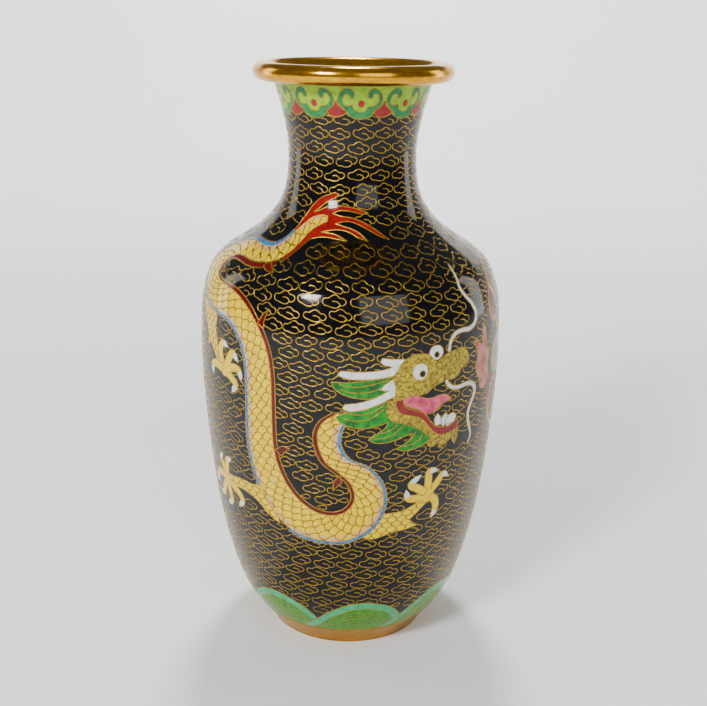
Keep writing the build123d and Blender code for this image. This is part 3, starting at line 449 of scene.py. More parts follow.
# --- the dragon's legs: shank outline, then the pad and the toes ---
LEGS = [
    ([[(-70.0, 137.0), (-66.5, 132.0), (-65.3, 128.5), (-66.0, 126.0)],
      [(-64.6, 125.6), (-63.0, 127.3)], [(-60.0, 124.6), (-57.0, 121.6), (-54.8, 120.2)],
      [(-51.0, 121.0)], [(-53.4, 123.8), (-55.5, 127.0), (-57.4, 131.0), (-58.0, 134.0),
                          (-57.2, 139.6)], [(-66.0, 144.0), (-73.0, 141.5)]],
     (-51.5, 119.5),
     [[(-53.0, 121.5), (-54.4, 125.6), (-53.2, 129.2), (-48.8, 128.2)],
      [(-50.5, 121.5), (-48.0, 125.4), (-46.6, 126.8), (-43.4, 123.6)],
      [(-50.0, 120.0), (-45.6, 121.3), (-43.3, 120.8), (-42.0, 116.6)],
      [(-50.5, 118.5), (-47.0, 116.6), (-45.2, 114.8), (-47.6, 111.2)],
      [(-53.0, 119.0), (-58.0, 119.9), (-61.0, 118.4), (-60.2, 114.2)]]),
    ([[(-36.0, 76.4), (-39.5, 75.3), (-43.0, 75.6), (-48.0, 75.4), (-53.0, 74.8), (-57.0, 75.2)],
      [(-58.0, 70.6)], [(-54.5, 70.3), (-51.0, 70.9), (-46.0, 71.1), (-41.0, 70.0), (-37.0, 68.0),
                         (-33.5, 64.8), (-28.0, 61.4)], [(-29.0, 70.0)]],
     (-57.5, 72.0),
     [[(-57.0, 73.5), (-56.4, 77.6), (-55.8, 80.2), (-52.0, 81.9)],
      [(-58.0, 73.5), (-59.6, 77.0), (-61.4, 79.4), (-59.0, 82.2)],
      [(-59.0, 72.5), (-64.0, 72.4), (-68.2, 69.8), (-69.4, 65.0)],
      [(-58.5, 70.5), (-61.5, 66.6), (-63.2, 63.6), (-68.0, 63.2)],
      [(-57.0, 70.0), (-56.2, 65.6), (-56.2, 62.4), (-60.0, 60.2)],
      [(-55.5, 71.0), (-49.0, 68.2), (-47.4, 65.6), (-50.8, 61.8)]]),
    ([[(17.0, 68.6), (21.0, 68.8), (24.0, 69.8), (27.0, 71.2), (30.0, 73.0)], [(33.4, 71.0)],
      [(31.0, 69.8), (27.5, 66.8), (24.8, 64.6)], [(26.5, 63.0), (28.2, 61.4)],
      [(22.4, 60.3), (18.0, 60.2), (14.0, 58.8), (9.5, 57.8), (5.5, 59.0)], [(7.0, 64.0), (11.0, 68.4)]],
     (32.0, 74.0),
     [[(31.0, 75.0), (27.2, 77.6), (24.4, 79.6), (28.4, 83.2)],
      [(32.0, 75.5), (31.8, 80.0), (32.0, 83.8), (36.6, 83.4)],
      [(33.0, 75.0), (36.4, 78.6), (38.6, 81.2), (42.2, 79.2)],
      [(30.5, 73.5), (26.0, 73.4), (23.4, 74.2), (22.4, 77.8)],
      [(33.5, 73.0), (36.2, 70.2), (36.6, 66.4), (35.0, 62.8)]]),
]
TOE_WIDTHS = [3.1, 3.3, 3.1, 2.5, 0.15]
CLAW_WIDTHS = [2.5, 2.2, 0.1]
CLAW_START = 0.68  # share of the toe that comes before the claw
PAD_RADIUS = 3.1
LEG_SCALE = 1.9  # half a scale on the shank

# --- the pearl and its flames ---
PEARL_LEVEL = 121.2
PEARL_RINGS = ((8.3, "pearl_green"), (6.7, "pearl_pink"), (5.0, "pearl_green"), (2.6, "pearl_core"))
PEARL_SQUASH = 1.3  # the pearl is wider than it is high
SIDE_FLAME = [
    [(53.3, 126.0), (52.3, 121.0), (54.3, 117.0), (55.8, 114.8)],
    [(55.9, 112.7), (58.0, 111.2), (61.0, 111.6), (63.8, 114.4)],
    [(62.6, 117.6), (62.6, 122.0), (63.6, 126.8)],
    [(61.6, 125.6), (60.6, 128.6)],
    [(60.0, 133.0), (57.6, 137.6)],
    [(57.0, 133.2), (56.6, 129.0)],
    [(54.6, 130.0), (51.0, 132.0)],
]
TOP_FLAME = [(74.6, 130.6), (72.6, 133.4), (72.4, 136.8), (73.4, 141.0), (71.8, 145.0), (69.0, 148.8),
             (69.6, 153.6), (73.6, 157.0)]
HOOK_FLAME = [(71.4, 137.2), (68.6, 136.4), (65.6, 138.6), (64.6, 142.8), (66.4, 147.4), (68.6, 150.0)]
TAIL_WISP = [(69.6, 113.6), (66.4, 108.0), (65.8, 102.6), (67.6, 97.4), (71.6, 93.4), (76.6, 90.2),
             (82.0, 87.4)]

# --- one lappet of the collar ---
SCROLL = [
    [(-1.6, 220.4), (-2.4, 218.5), (-4.8, 218.4), (-6.2, 219.9)],
    [(-8.6, 219.7), (-10.4, 217.9), (-9.4, 216.2), (-7.0, 215.7)],
    [(-3.4, 216.2), (-1.9, 214.6), (0.0, 213.9), (3.0, 213.6), (6.0, 213.9), (7.6, 215.0),
     (9.0, 215.7)],
    [(12.6, 215.7), (15.0, 216.6), (15.9, 218.4), (14.4, 220.0), (12.2, 220.1)],
    [(11.0, 218.5), (8.6, 218.4), (7.4, 220.0), (8.6, 221.6), (12.0, 222.1), (16.4, 221.0),
     (19.2, 218.4), (18.2, 215.8), (15.6, 214.7), (12.7, 213.8)],
    [(11.6, 212.3), (8.0, 211.4), (3.0, 211.0), (-2.0, 211.4), (-5.8, 212.3), (-7.4, 213.4)],
    [(-10.0, 214.9), (-13.0, 216.0), (-14.2, 218.4), (-11.8, 220.9), (-7.6, 222.2), (-3.6, 221.9)],
]
SCALLOP = [
    [(22.6, 215.9), (26.0, 214.4), (28.4, 213.9)],
    [(27.2, 212.9), (24.4, 212.1), (20.0, 211.6), (16.0, 212.1), (13.0, 213.3)],
    [(15.4, 214.9), (18.2, 215.7), (20.2, 217.4)],
]
DOT = (3.2, 216.5, 1.3)
LAPPET_FIELD = [(-15.8, 217.4), (-15.8, 224.5), (20.2, 224.5), (20.2, 217.4), (16.6, 217.4),
                (13.6, 215.0), (8.0, 212.6), (3.0, 212.2), (-4.0, 212.8), (-8.0, 214.8), (-12.0, 217.4)]

# --- one hill of the foot border ---
HILL_OUTER = [(-31.0, 9.6), (-26.0, 12.6), (-20.0, 16.5), (-15.0, 20.2), (-10.0, 23.0), (-5.0, 25.2),
              (0.0, 26.2), (4.5, 26.4), (10.0, 25.5), (15.0, 24.0), (20.0, 21.2), (25.0, 16.6),
              (31.0, 9.6)]
HILL_BORDER = 3.2


# --- finishes ---
class Finish:
    """A node material with a principled surface."""

    def __init__(self, name):
        self.material = bpy.data.materials.new(name)
        self.material.use_nodes = True
        self.nodes = self.material.node_tree.nodes
        self.links = self.material.node_tree.links
        self.surface = self.nodes["Principled BSDF"]
        self.place = self.add("ShaderNodeTexCoord").outputs["Object"]

    def add(self, kind, **settings):
        node = self.nodes.new(kind)
        for key, value in settings.items():
            setattr(node, key, value)
        return node

    def noise(self, scale, detail=3.0, rough=0.5):
        node = self.add("ShaderNodeTexNoise")
        node.inputs["Scale"].default_value = scale
        node.inputs["Detail"].default_value = detail
        node.inputs["Roughness"].default_value = rough
        self.links.new(self.place, node.inputs["Vector"])
        return node.outputs["Fac"]

    def ramp(self, value, stops):
        node = self.add("ShaderNodeValToRGB")
        while len(node.color_ramp.elements) < len(stops):
            node.color_ramp.elements.new(0.5)
        for element, (at, colour) in zip(node.color_ramp.elements, stops):
            element.position = at
            element.color = (*colour, 1)
        self.links.new(value, node.inputs["Fac"])
        return node.outputs["Color"]

    def mix(self, share, one, two):
        node = self.add("ShaderNodeMix", data_type="RGBA")
        self.links.new(share, node.inputs[0])
        for socket, value in ((node.inputs[6], one), (node.inputs[7], two)):
            if isinstance(value, tuple):
                socket.default_value = (*value, 1)
            else:
                self.links.new(value, socket)
        return node.outputs[2]

    def spots(self, scale, size):
        """Small scattered specks: 1 inside a speck."""
        cells = self.add("ShaderNodeTexVoronoi")
        cells.inputs["Scale"].default_value = scale
        self.links.new(self.place, cells.inputs["Vector"])
        near = self.ramp(cells.outputs["Distance"], [(size * 0.7, (1, 1, 1)), (size, (0, 0, 0))])
        few = self.ramp(self.noise(scale * 0.31, 1.0), [(0.52, (0, 0, 0)), (0.56, (1, 1, 1))])
        both = self.add("ShaderNodeMath", operation="MULTIPLY")
        self.links.new(near, both.inputs[0])
        self.links.new(few, both.inputs[1])
        return both.outputs[0]

    def range(self, value, low, high):
        node = self.add("ShaderNodeMapRange")
        node.inputs["To Min"].default_value = low
        node.inputs["To Max"].default_value = high
        self.links.new(value, node.inputs["Value"])
        return node.outputs["Result"]

    def bump(self, value, strength, distance):
        node = self.add("ShaderNodeBump")
        node.inputs["Strength"].default_value = strength
        node.inputs["Distance"].default_value = distance
        self.links.new(value, node.inputs["Height"])
        self.links.new(node.outputs["Normal"], self.surface.inputs["Normal"])


def srgb(code):
    """A linear colour from a six-figure code."""
    parts = [int(code[i:i + 2], 16) / 255 for i in (0, 2, 4)]
    return tuple(p / 12.92 if p <= 0.04045 else ((p + 0.055) / 1.055) ** 2.4 for p in parts)


def enamel(name, light, dark, mottle=420.0, speck=None, speck_scale=900.0, speck_size=0.16,
           rough=(0.07, 0.13)):
    """Polished glass enamel: mottled colour, fine specks and slight ripples."""
    finish = Finish(name)
    colour = finish.ramp(finish.noise(mottle, 4.0, 0.6), [(0.36, srgb(dark)), (0.6, srgb(light))])
    if speck is not None:
        colour = finish.mix(finish.spots(speck_scale, speck_size), colour, srgb(speck))
    finish.links.new(colour, finish.surface.inputs["Base Color"])
    gloss = finish.range(finish.noise(150.0, 2.0), *rough)
    finish.links.new(gloss, finish.surface.inputs["Roughness"])
    finish.surface.inputs["IOR"].default_value = 1.5
    finish.surface.inputs["Specular IOR Level"].default_value = 0.3
    finish.bump(finish.noise(260.0, 2.0), 0.06, 0.0001)
    return finish.material


def metal(name, light, dark, rough, mottle=300.0, ripple=0.05, stretch=None):
    """Gilt brass: colour varies a little, with fine polishing marks."""
    finish = Finish(name)
    if stretch is not None:
        squeeze = finish.add("ShaderNodeMapping")
        squeeze.inputs["Scale"].default_value = stretch
        finish.links.new(finish.place, squeeze.inputs["Vector"])
        finish.place = squeeze.outputs["Vector"]
    colour = finish.ramp(finish.noise(mottle, 5.0, 0.65), [(0.3, srgb(dark)), (0.65, srgb(light))])
    finish.links.new(colour, finish.surface.inputs["Base Color"])
    finish.surface.inputs["Metallic"].default_value = 1.0
    gloss = finish.range(finish.noise(mottle * 1.7, 3.0), *rough)
    finish.links.new(gloss, finish.surface.inputs["Roughness"])
    finish.bump(finish.noise(mottle * 2.2, 3.0), ripple, 0.0002)
    return finish.material


BLACK = enamel("black_enamel", "0B0B10", "040406", rough=(0.06, 0.12))
YELLOW = enamel("yellow_enamel", "ECCC00", "DCB400", speck="7A5A10")
PALE = enamel("pale_scale_enamel", "D49C70", "D8B810", 500.0, speck="8C7A50", speck_scale=1100.0)
RED = enamel("fin_red_enamel", "640C0A", "4C0706", speck="3A0C0C")
FLAME_RED = enamel("flame_red_enamel", "95150F", "74100E", speck="3A0A08")
BLUE = enamel("blue_enamel", "2484C4", "0C4C90", 700.0, speck="14406A", speck_size=0.2)
HEAD = enamel("head_enamel", "B8A41C", "5A4612", 900.0, speck="4B3A22", speck_size=0.3)
WHITE = enamel("white_enamel", "E2E4DE", "C6CCC8", speck="24304A", speck_scale=1000.0, speck_size=0.2)
GREEN = enamel("leaf_green_enamel", "078A18", "0A4C18", 330.0, speck="0C3412", speck_size=0.22)
PINK = enamel("tongue_enamel", "DC5878", "A82050", 260.0, speck="8A2C4C")
LIP_RED = enamel("lip_enamel", "84201F", "6C1517")
PEARL_PINK = enamel("pearl_pink_enamel", "D9A39A", "B86C66", 600.0, speck="5A2A2C")
PEARL_GREEN = enamel("pearl_green_enamel", "2F9A4E", "1B6B34", 500.0, speck="0C3A1A")
CORE_RED = enamel("core_red_enamel", "8A1A18", "64100F")
COLLAR_LIGHT = enamel("collar_light_enamel", "94C400", "78A400", speck="4C6A10", speck_size=0.2)
COLLAR_GREEN = enamel("collar_green_enamel", "22833F", "176834", speck="0C3A1E")
COLLAR_RED = enamel("collar_red_enamel", "93211F", "7C1A1A", speck="3E0E0E")
HILL_EDGE = enamel("hill_edge_enamel", "38B078", "28985F", 380.0, speck="1C4A38", speck_size=0.2)
HILL_FIELD = enamel("hill_field_enamel", "3A9420", "226C14", 500.0, speck="1C4A18", speck_size=0.24)
LINING = enamel("lining_enamel", "2E8FA6", "1F7086", 200.0, rough=(0.25, 0.4))
WIRE_METAL = metal("wire_brass", "BE9A34", "86681E", (0.3, 0.45), 900.0)
DARK_WIRE = metal("tarnished_wire", "9A7226", "6A4A18", (0.35, 0.5), 900.0)
GILT = metal("polished_gilt", "E6AA22", "B87E10", (0.12, 0.24), 240.0, 0.08, (1, 1, 6))
GILT_FOOT = metal("satin_gilt", "C08A14", "84600C", (0.26, 0.38), 300.0, 0.08, (1, 1, 8))
COPPER = metal("copper", "C27A50", "96583A", (0.35, 0.5))


# --- decoration: items from front to back ---
wires = Wires()
dark_wires = Wires()
groups = {}
fronts = []  # outlines already laid down; whatever comes later passes behind them


def colour_group(name, material):
    if name not in groups:
        groups[name] = (Cells(), material)
    return groups[name][0]


def lay(name, material, shape, wired=True):
    """Lays one cell behind everything laid before it."""
    points, faces = fill(shape, fronts)
    colour_group(name, material).add(points, faces, CELL_LIFT)
    if wired:
        loop = np.vstack([shape, shape[:1]])
        runs = outside_runs(loop, fronts)
        if len(runs) == 1 and len(runs[0]) == len(loop):
            wires.add(shape, loop=True)
        else:
            for run in runs:
                wires.add(run)
    fronts.append(shape)
    return shape


def line_in(shape, points, width=WIRE, rounded=True):
    """A wire inside a cell, hidden where something stands in front of the cell."""
    line = smooth(points) if rounded else np.asarray(points, float)
    for run in outside_runs(line, [f for f in fronts if f is not shape], shape):
        wires.add(run, width)


def mirrored(shape):
    return np.stack([2 * PEARL_TURN - shape[:, 0], shape[:, 1]], 1)


class Side:
    """Lays a figure as drawn, or as its mirror image."""

    def __init__(self, name, flip):
        self.name = name
        self.flip = flip

    def see(self, shape):
        shape = np.asarray(shape, float).reshape(-1, 2)
        return mirrored(shape) if self.flip else shape

    def lay(self, name, material, shape, **more):
        return lay(self.name + name, material, self.see(shape), **more)

    def line(self, shape, points, width=WIRE, rounded=True):
        line_in(shape, self.see(points), width, rounded)


# Rails of the body: even stations along it, and points across it.
def body_rails():
    steps = 14
    stations = []
    both = []
    for column in (0, 2):
        line = [RUNGS[0][column:column + 2]]
        points = [r[column:column + 2] for r in RUNGS]
        ends = [tuple(2 * np.array(points[0]) - points[1]), *points,
                tuple(2 * np.array(points[-1]) - points[-2])]
        for a, b, c, d in zip(ends, ends[1:], ends[2:], ends[3:]):
            a, b, c, d = (np.array(q) for q in (a, b, c, d))
            for k in range(1, steps + 1):
                t = k / steps
                line.append(0.5 * (2 * b + (c - a) * t + (2 * a - 5 * b + 4 * c - d) * t * t
                                   + (3 * b - a - 3 * c + d) * t**3))
        both.append(np.array(line))
    middle = (both[0] + both[1]) / 2
    scale = np.radians(radius(middle[:, 1]))
    flat = np.stack([middle[:, 0] * scale, middle[:, 1]], 1)
    along = np.concatenate([[0], np.cumsum(np.linalg.norm(np.diff(flat, axis=0), axis=1))])
    gap = both[1] - both[0]
    width = np.hypot(gap[:, 0] * scale, gap[:, 1])
    return both[0], both[1], along, width, steps


BACK, BELLY, ALONG, WIDTH, RUNG_STEPS = body_rails()


def on_body(along, across):
    """A point so far along the body and so far across it from its back, in millimetres."""
    along = np.asarray(along, float)
    across = np.asarray(across, float)
    width = np.interp(along, ALONG, WIDTH)
    share = (across / width)[..., None]
    back = np.stack([np.interp(along, ALONG, BACK[:, i]) for i in (0, 1)], -1)
    belly = np.stack([np.interp(along, ALONG, BELLY[:, i]) for i in (0, 1)], -1)
    return back * (1 - share) + belly * share


def band(first, last, near, far, step=0.8):
    """A closed band of the body between two distances from its back; a function gives a distance."""
    low, high = ALONG[first * RUNG_STEPS], ALONG[min(last * RUNG_STEPS, len(ALONG) - 1)]
    stations = np.linspace(low, high, max(int((high - low) / step), 2))
    edges = [on_body(stations, side(stations)) for side in (near, far)]
    return np.vstack([edges[0], edges[1][::-1]])


def width_at(stations):
    return np.interp(stations, ALONG, WIDTH)


def row_edge(stations):
    width = width_at(stations)
    return width - np.minimum(BELLY_ROW, 0.3 * width)


def scale_arcs(length, width, pitch, size):
    """Scale arcs in (along, across) millimetres, bulging towards the tail."""
    half = size / 2
    turn = np.linspace(-math.pi / 2, math.pi / 2, 13)
    arcs = []
    row = 0
    station = pitch
    while station < length:
        offset = half if row % 2 else 0.0
        across = offset
        while across < width + half:
            wobble = random.uniform(-0.12, 0.12)
            arcs.append(np.stack([station + wobble - np.cos(turn) * half * 1.06,
                                  across + np.sin(turn) * half * 0.98], 1))
            across += size
        station += pitch
        row += 1
    return arcs


def lay_dragon(name, flip):
    side = Side(name, flip)
    # Head, from front to back.
    eye, far = EYE, FAR_EYE
    side.lay("pupil", BLACK, ring(eye[0] + 0.9, eye[1] - 0.9, eye[3]))
    side.lay("eye", WHITE, ring(*eye[:3]))
    for tooth in TEETH:
        side.lay("teeth", WHITE, closed(tooth))
    tongue = side.lay("tongue", PINK, closed(TONGUE))
    side.line(tongue, [(21.5, 113.6), (26.0, 112.6), (30.5, 111.2), (36.0, 112.6)])
    side.lay("lip", LIP_RED, closed(LIP))
    for horn in (LOWER_HORN, UPPER_HORN):
        side.lay("horn", WHITE, closed(horn))
    jaw = side.lay("head", HEAD, closed(JAW))
    skull = side.lay("head", HEAD, closed(SKULL))
    for shape, lines in ((skull, SKULL_LINES), (jaw, JAW_LINES)):
        for line in lines:
            side.line(shape, line)
    side.lay("pupil", BLACK, ring(far[0] + 0.2, far[1] - 0.8, far[3]))
    side.lay("eye", WHITE, ring(far[0], far[1], far[2] * 1.1, far[2]))
    upper = side.lay("mane", GREEN, closed(UPPER_MANE))
    lower = side.lay("mane", GREEN, closed(LOWER_MANE))
    for shape, lines in ((upper, UPPER_VEINS), (lower, LOWER_VEINS)):
        for line in lines:
            side.line(shape, line)
    for whisker in (UPPER_WHISKER, LOWER_WHISKER):
        side.lay("whisker", WHITE, ribbon(whisker, WHISKER_WIDTHS))

    # Body: trunk first, then the fin and the serrated edge that show beside it.
    last = len(RUNGS) - 1
    trunk = side.see(band(0, last, lambda s: 0 * s, width_at))
    pale = side.see(band(1, last, row_edge, width_at))
    fronts_now = list(fronts)
    lay(name + "belly", PALE, pale, wired=False)
    lay(name + "body", YELLOW, trunk)
    total = ALONG[-1]
    for arc in scale_arcs(total, 14.5, 2.55, 4.75):
        points = side.see(on_body(arc[:, 0], arc[:, 1]))
        keep = (arc[:, 1] > 0.1) & (arc[:, 1] < width_at(arc[:, 0]) - 0.1) & (arc[:, 0] > 0.6)
        for run in np.split(np.arange(len(arc)), np.where(~keep)[0]):
            run = [i for i in run if keep[i]]
            if len(run) > 2:
                for part in outside_runs(points[run], fronts_now):
                    dark_wires.add(part)
    for thorn in THORNS:
        side.lay("fin", RED, closed(thorn))
    first, stop = FIN_RUNGS
    side.lay("fin", RED, band(first, stop, lambda s: 0.3 + 0 * s, lambda s: 0 * s - 1.75))
    for first, stop in EDGE_RUNGS:
        pitch = 1.55
        side.lay("edge", BLUE, band(
            first, stop, lambda s: width_at(s) - 0.3,
            lambda s: width_at(s) + 1.05 + 0.55 * np.abs(((s / pitch) % 1.0) * 2 - 1), 0.2))

    # Legs: scaled shanks that end in white claws.
    for shank, pad, toes in LEGS:
        foot = ring(*pad, PAD_RADIUS)
        for toe in toes:
            claw = smooth(toe)
            cut = int(len(claw) * CLAW_START)
            side.lay("claw", WHITE, ribbon(claw[cut:][::3], CLAW_WIDTHS), wired=False)
            side.lay("leg", YELLOW, ribbon(toe, TOE_WIDTHS))
        side.lay("leg", YELLOW, foot, wired=False)
        shape = side.lay("leg", YELLOW, closed(shank))
        hide = [f for f in fronts if f is not shape]
        low, high = shape.min(0), shape.max(0)
        row = 0
        level = low[1]
        scale = math.radians(float(radius(low[1])))
        turn = np.linspace(math.pi, 2 * math.pi, 11)
        while level < high[1] + 2:
            angle = low[0] + (LEG_SCALE / scale if row % 2 else 0)
            while angle < high[0] + 3:
                arc = np.stack([angle + LEG_SCALE * np.cos(turn) / scale,
                                level + LEG_SCALE * np.sin(turn)], 1)
                for part in outside_runs(arc, hide, shape):
                    dark_wires.add(part)
                angle += 2 * LEG_SCALE / scale
            level += 2.1
            row += 1
    side.lay("tail", FLAME_RED, closed(TAIL_FLAME))


SKULL_LINES = [
    [(20.6, 127.0), (22.6, 129.0), (26.0, 129.3), (29.0, 128.2), (31.0, 125.8)],
    [(21.4, 122.0), (24.0, 120.6), (28.0, 120.6), (31.0, 122.4), (32.2, 125.4), (32.4, 127.4)],
    [(18.2, 119.0), (21.0, 117.6), (25.0, 117.8), (29.0, 119.0), (33.0, 121.0), (38.0, 121.8),
     (43.4, 122.6)],
    [(35.0, 126.8), (37.5, 128.2), (40.0, 127.6), (41.0, 125.6), (39.4, 124.4)],
    [(43.0, 128.6), (45.2, 127.6), (45.0, 125.8), (43.2, 125.4)],
    [(33.6, 124.6), (36.0, 123.8), (38.6, 123.6)],
]
JAW_LINES = [
    [(18.5, 107.6), (22.0, 106.6), (26.0, 104.6), (29.4, 101.4), (32.0, 98.0)],
    [(33.0, 97.6), (36.0, 96.8), (40.0, 97.6)],
    [(15.2, 112.4), (16.6, 109.4), (19.0, 108.2)],
]
UPPER_VEINS = [
    [(-3.4, 121.6), (0.0, 120.7), (3.4, 120.5), (9.0, 121.6), (14.0, 122.8)],
    [(-3.0, 119.6), (1.0, 118.4), (5.0, 118.2), (10.0, 119.4), (14.6, 121.4)],
]
LOWER_VEINS = [
    [(-2.4, 108.8), (1.0, 107.6), (5.0, 107.6), (9.0, 109.2), (12.0, 111.6)],
    [(0.0, 110.2), (5.0, 110.0), (9.0, 111.2), (12.6, 113.4)],
    [(9.4, 100.2), (13.0, 100.4), (17.0, 102.2), (19.0, 104.4)],
    [(11.6, 102.2), (15.0, 103.4), (17.2, 105.2)],
    [(20.0, 96.0), (24.0, 97.0), (27.0, 99.0), (27.4, 100.8)],
    [(19.6, 97.4), (23.0, 99.0), (24.6, 101.8)],
]


def lay_pearl():
    rings = sorted(PEARL_RINGS)
    colours = {"pearl_green": PEARL_GREEN, "pearl_pink": PEARL_PINK, "pearl_core": CORE_RED}
    for size, name in rings:
        lay(name, colours[name], ring(PEARL_TURN, PEARL_LEVEL, size * PEARL_SQUASH, size))
    flame = closed(SIDE_FLAME)
    tips = [(53.8, 129.0), (56.0, 124.0), (56.2, 119.0), (57.4, 115.0)]
    for shape in (flame, mirrored(flame)):
        placed = lay("pearl_flame", FLAME_PINK, shape)
        line_in(placed, tips if shape is flame else mirrored(np.array(tips)))
    widths = [1.8, 2.8, 3.0, 2.6, 1.6, 0.2]
    for line in (HOOK_FLAME, TOP_FLAME, TAIL_WISP):
        lay("pearl_flame", FLAME_PINK, ribbon(line, widths))


WINDOW = PEARL_TURN - 180  # angles run from here once round; the far side is free ground
LAPPETS, LAPPET_TURN, COLLAR_TOP = 10, 3.0, 223.2
HILLS, HILL_TURN, HILL_FOOT = 8, 4.5, 9.75


def around(first, count):
    """Evenly spaced angles once round, as seen in the window."""
    return [(first + 360 / count * k - WINDOW) % 360 + WINDOW for k in range(count)]


def lay_collar():
    turns = [np.array([angle, 0.0]) for angle in around(LAPPET_TURN, LAPPETS)]
    for name, material, shape in (("collar_scroll", COLLAR_GREEN, closed(SCROLL)),
                                  ("collar_dot", COLLAR_RED, ring(*DOT)),
                                  ("collar_scallop", COLLAR_RED, closed(SCALLOP))):
        for turn in turns:
            lay(name, material, shape + turn)
    field = np.array(LAPPET_FIELD)
    field[:, 1] = np.minimum(field[:, 1], COLLAR_TOP)
    for turn in turns:
        line = np.vstack([field, field[:1]]) + turn
        dense = np.vstack([smooth([a, b])[:-1] for a, b in zip(line, line[1:])])
        lay("collar_field", COLLAR_LIGHT, dense, wired=False)


def lay_hills():
    turns = around(HILL_TURN, HILLS)
    top = smooth(HILL_OUTER)
    shapes = []
    for turn in turns:
        for part, depth in (("outer", 0.0), ("inner", HILL_BORDER)):
            line = shifted(top, depth)
            line = line[line[:, 1] > HILL_FOOT]
            shape = np.vstack([line, smooth([(line[-1][0], HILL_FOOT), (line[0][0], HILL_FOOT)])])
            shapes.append((turn, part, shape + [turn, 0.0]))
    for turn in turns:
        outer = [s for t, p, s in shapes if t == turn and p == "outer"][0]
        inner = [s for t, p, s in shapes if t == turn and p == "inner"][0]
        after = (turn + 360 / HILLS - WINDOW) % 360 + WINDOW
        hidden = [s for t, p, s in shapes if p == "outer" and abs(t - after) < 1e-6]
        wrap = [s + [shift, 0] for s in hidden for shift in (-360, 0, 360)]
        for name, material, shape in (("hill_field", HILL_FIELD, inner),
                                      ("hill_edge", HILL_EDGE, outer)):
            covers = wrap + ([inner] if name == "hill_edge" else [])
            points, faces = fill(shape, covers)
            colour_group(name, material).add(points, faces, CELL_LIFT)
            for run in outside_runs(shape, wrap):
                run = run[run[:, 1] > 9.9]
                if len(run) > 2:
                    wires.add(run)
        for wide, high in HILL_ARCS:
            for run in outside_runs(ring(turn, 8.2, wide, high, 90), wrap, inner):
                wires.add(run, 0.3)
    fronts.extend(s + [shift, 0] for t, p, s in shapes if p == "outer" for shift in (-360, 0, 360))


HILL_ARCS = [(2.4, 3.0), (4.6, 5.0), (6.8, 7.0), (9.0, 9.0), (11.2, 11.0), (13.4, 12.8)]

# A cloud, as shares of its width and height: one wire that starts inside and goes all round.
CLOUD = [(-0.08, 0.02), (0.07, 0.01), (0.19, -0.08), (0.25, -0.24), (0.19, -0.41), (0.05, -0.48),
         (-0.12, -0.43), (-0.26, -0.34), (-0.39, -0.3), (-0.48, -0.14), (-0.5, 0.04), (-0.42, 0.22),
         (-0.26, 0.24), (-0.18, 0.33), (-0.06, 0.47), (0.08, 0.48), (0.19, 0.34), (0.25, 0.26),
         (0.38, 0.25), (0.48, 0.11), (0.5, -0.05), (0.44, -0.22), (0.33, -0.3), (0.25, -0.25)]
TEAR = [(-0.5, 0.0), (-0.2, 0.26), (0.15, 0.5), (0.42, 0.3), (0.5, 0.0), (0.42, -0.3), (0.15, -0.5),
        (-0.2, -0.26), (-0.5, 0.0)]


SHOULDER = 165.0  # clouds are smaller above this


def lay_clouds():
    level = 13.0
    row = 0
    while level < 215.0:
        low = level < SHOULDER
        count = int(round(2 * math.pi * float(radius(level)) / (9.2 if low else 8.6)))
        for k in range(count):
            angle = WINDOW + (k + (0.5 if row % 2 else 0.0)) * 360 / count + random.uniform(-0.5, 0.5)
            z = level + random.uniform(-0.35, 0.35)
            scale = math.radians(float(radius(z)))
            wide = 8.2 * random.uniform(0.93, 1.05) if low else 7.7
            high = 4.4 * random.uniform(0.92, 1.06)
            lean = random.uniform(-0.12, 0.12)
            local = np.array(CLOUD) * [wide, high]
            local[:, 1] += local[:, 0] * lean
            reach = np.array([[angle + wide * dx / scale, z + high * dy] for dx, dy in
                              ((0, 0), (-0.3, 0), (0.3, 0), (0, 0.3), (0, -0.3))])
            blocked = np.zeros(len(reach), bool)
            for cover in fronts:
                blocked |= inside(reach, cover)
            if blocked.sum() > 2 or blocked[0]:
                if blocked.all():
                    continue
                small = np.array(TEAR) * [3.9, 1.9]
                free = reach[~blocked]
                spot = free.mean(0) + (free.mean(0) - [angle, z]) * 0.3
                tear = smooth(spot + small / [scale, 1.0])
                if not any(inside(tear, cover).any() for cover in fronts):
                    wires.add(tear)
                continue
            line = smooth([(angle + dx / scale, z + dy) for dx, dy in local], 0.3)
            for run in outside_runs(line, fronts):
                wires.add(run)
        level += 4.75 if low else 5.1
        row += 1


FLAME_PINK = enamel("pearl_flame_enamel", "C9877A", "A03A34", 160.0, speck="5A2020")

lay_dragon("left_dragon_", False)
lay_dragon("right_dragon_", True)
lay_pearl()
lay_collar()
lay_hills()
fronts += [shape + [turn, 0] for shape in fronts for turn in (-360, 360)
           if shape[:, 0].min() + turn < WINDOW + 380 and shape[:, 0].max() + turn > WINDOW - 20]
lay_clouds()

pieces = {}
for name, (cells, material) in groups.items():
    pieces[name] = cells.piece(name + "_cells", material)
wire_piece = wires.piece("cloison_wires", WIRE_METAL)
scale_wire_piece = dark_wires.piece("scale_wires", DARK_WIRE)


# --- the black ground and the gilt rings ---
def skin():
    levels = np.concatenate([np.linspace(9.95, 150, 150), np.linspace(150.5, 200, 120),
                             np.linspace(201, 223.4, 24)])
    steps = 480
    angles = np.linspace(-180, 180, steps, endpoint=False)
    grid = np.array([(a, z) for a in angles for z in levels])
    place, normal = surface(grid)
    rows = len(levels)
    faces = []
    for k in range(steps):
        m = (k + 1) % steps
        for i in range(rows - 1):
            faces.append((k * rows + i, m * rows + i, m * rows + i + 1, k * rows + i + 1))
    return mesh_piece("ground_skin", place, faces, BLACK, normal)


def arc_points(centre, size, start, stop, count):
    turn = np.radians(np.linspace(start, stop, count))
    return [(centre[0] + size * math.cos(t), centre[1] + size * math.sin(t)) for t in turn]


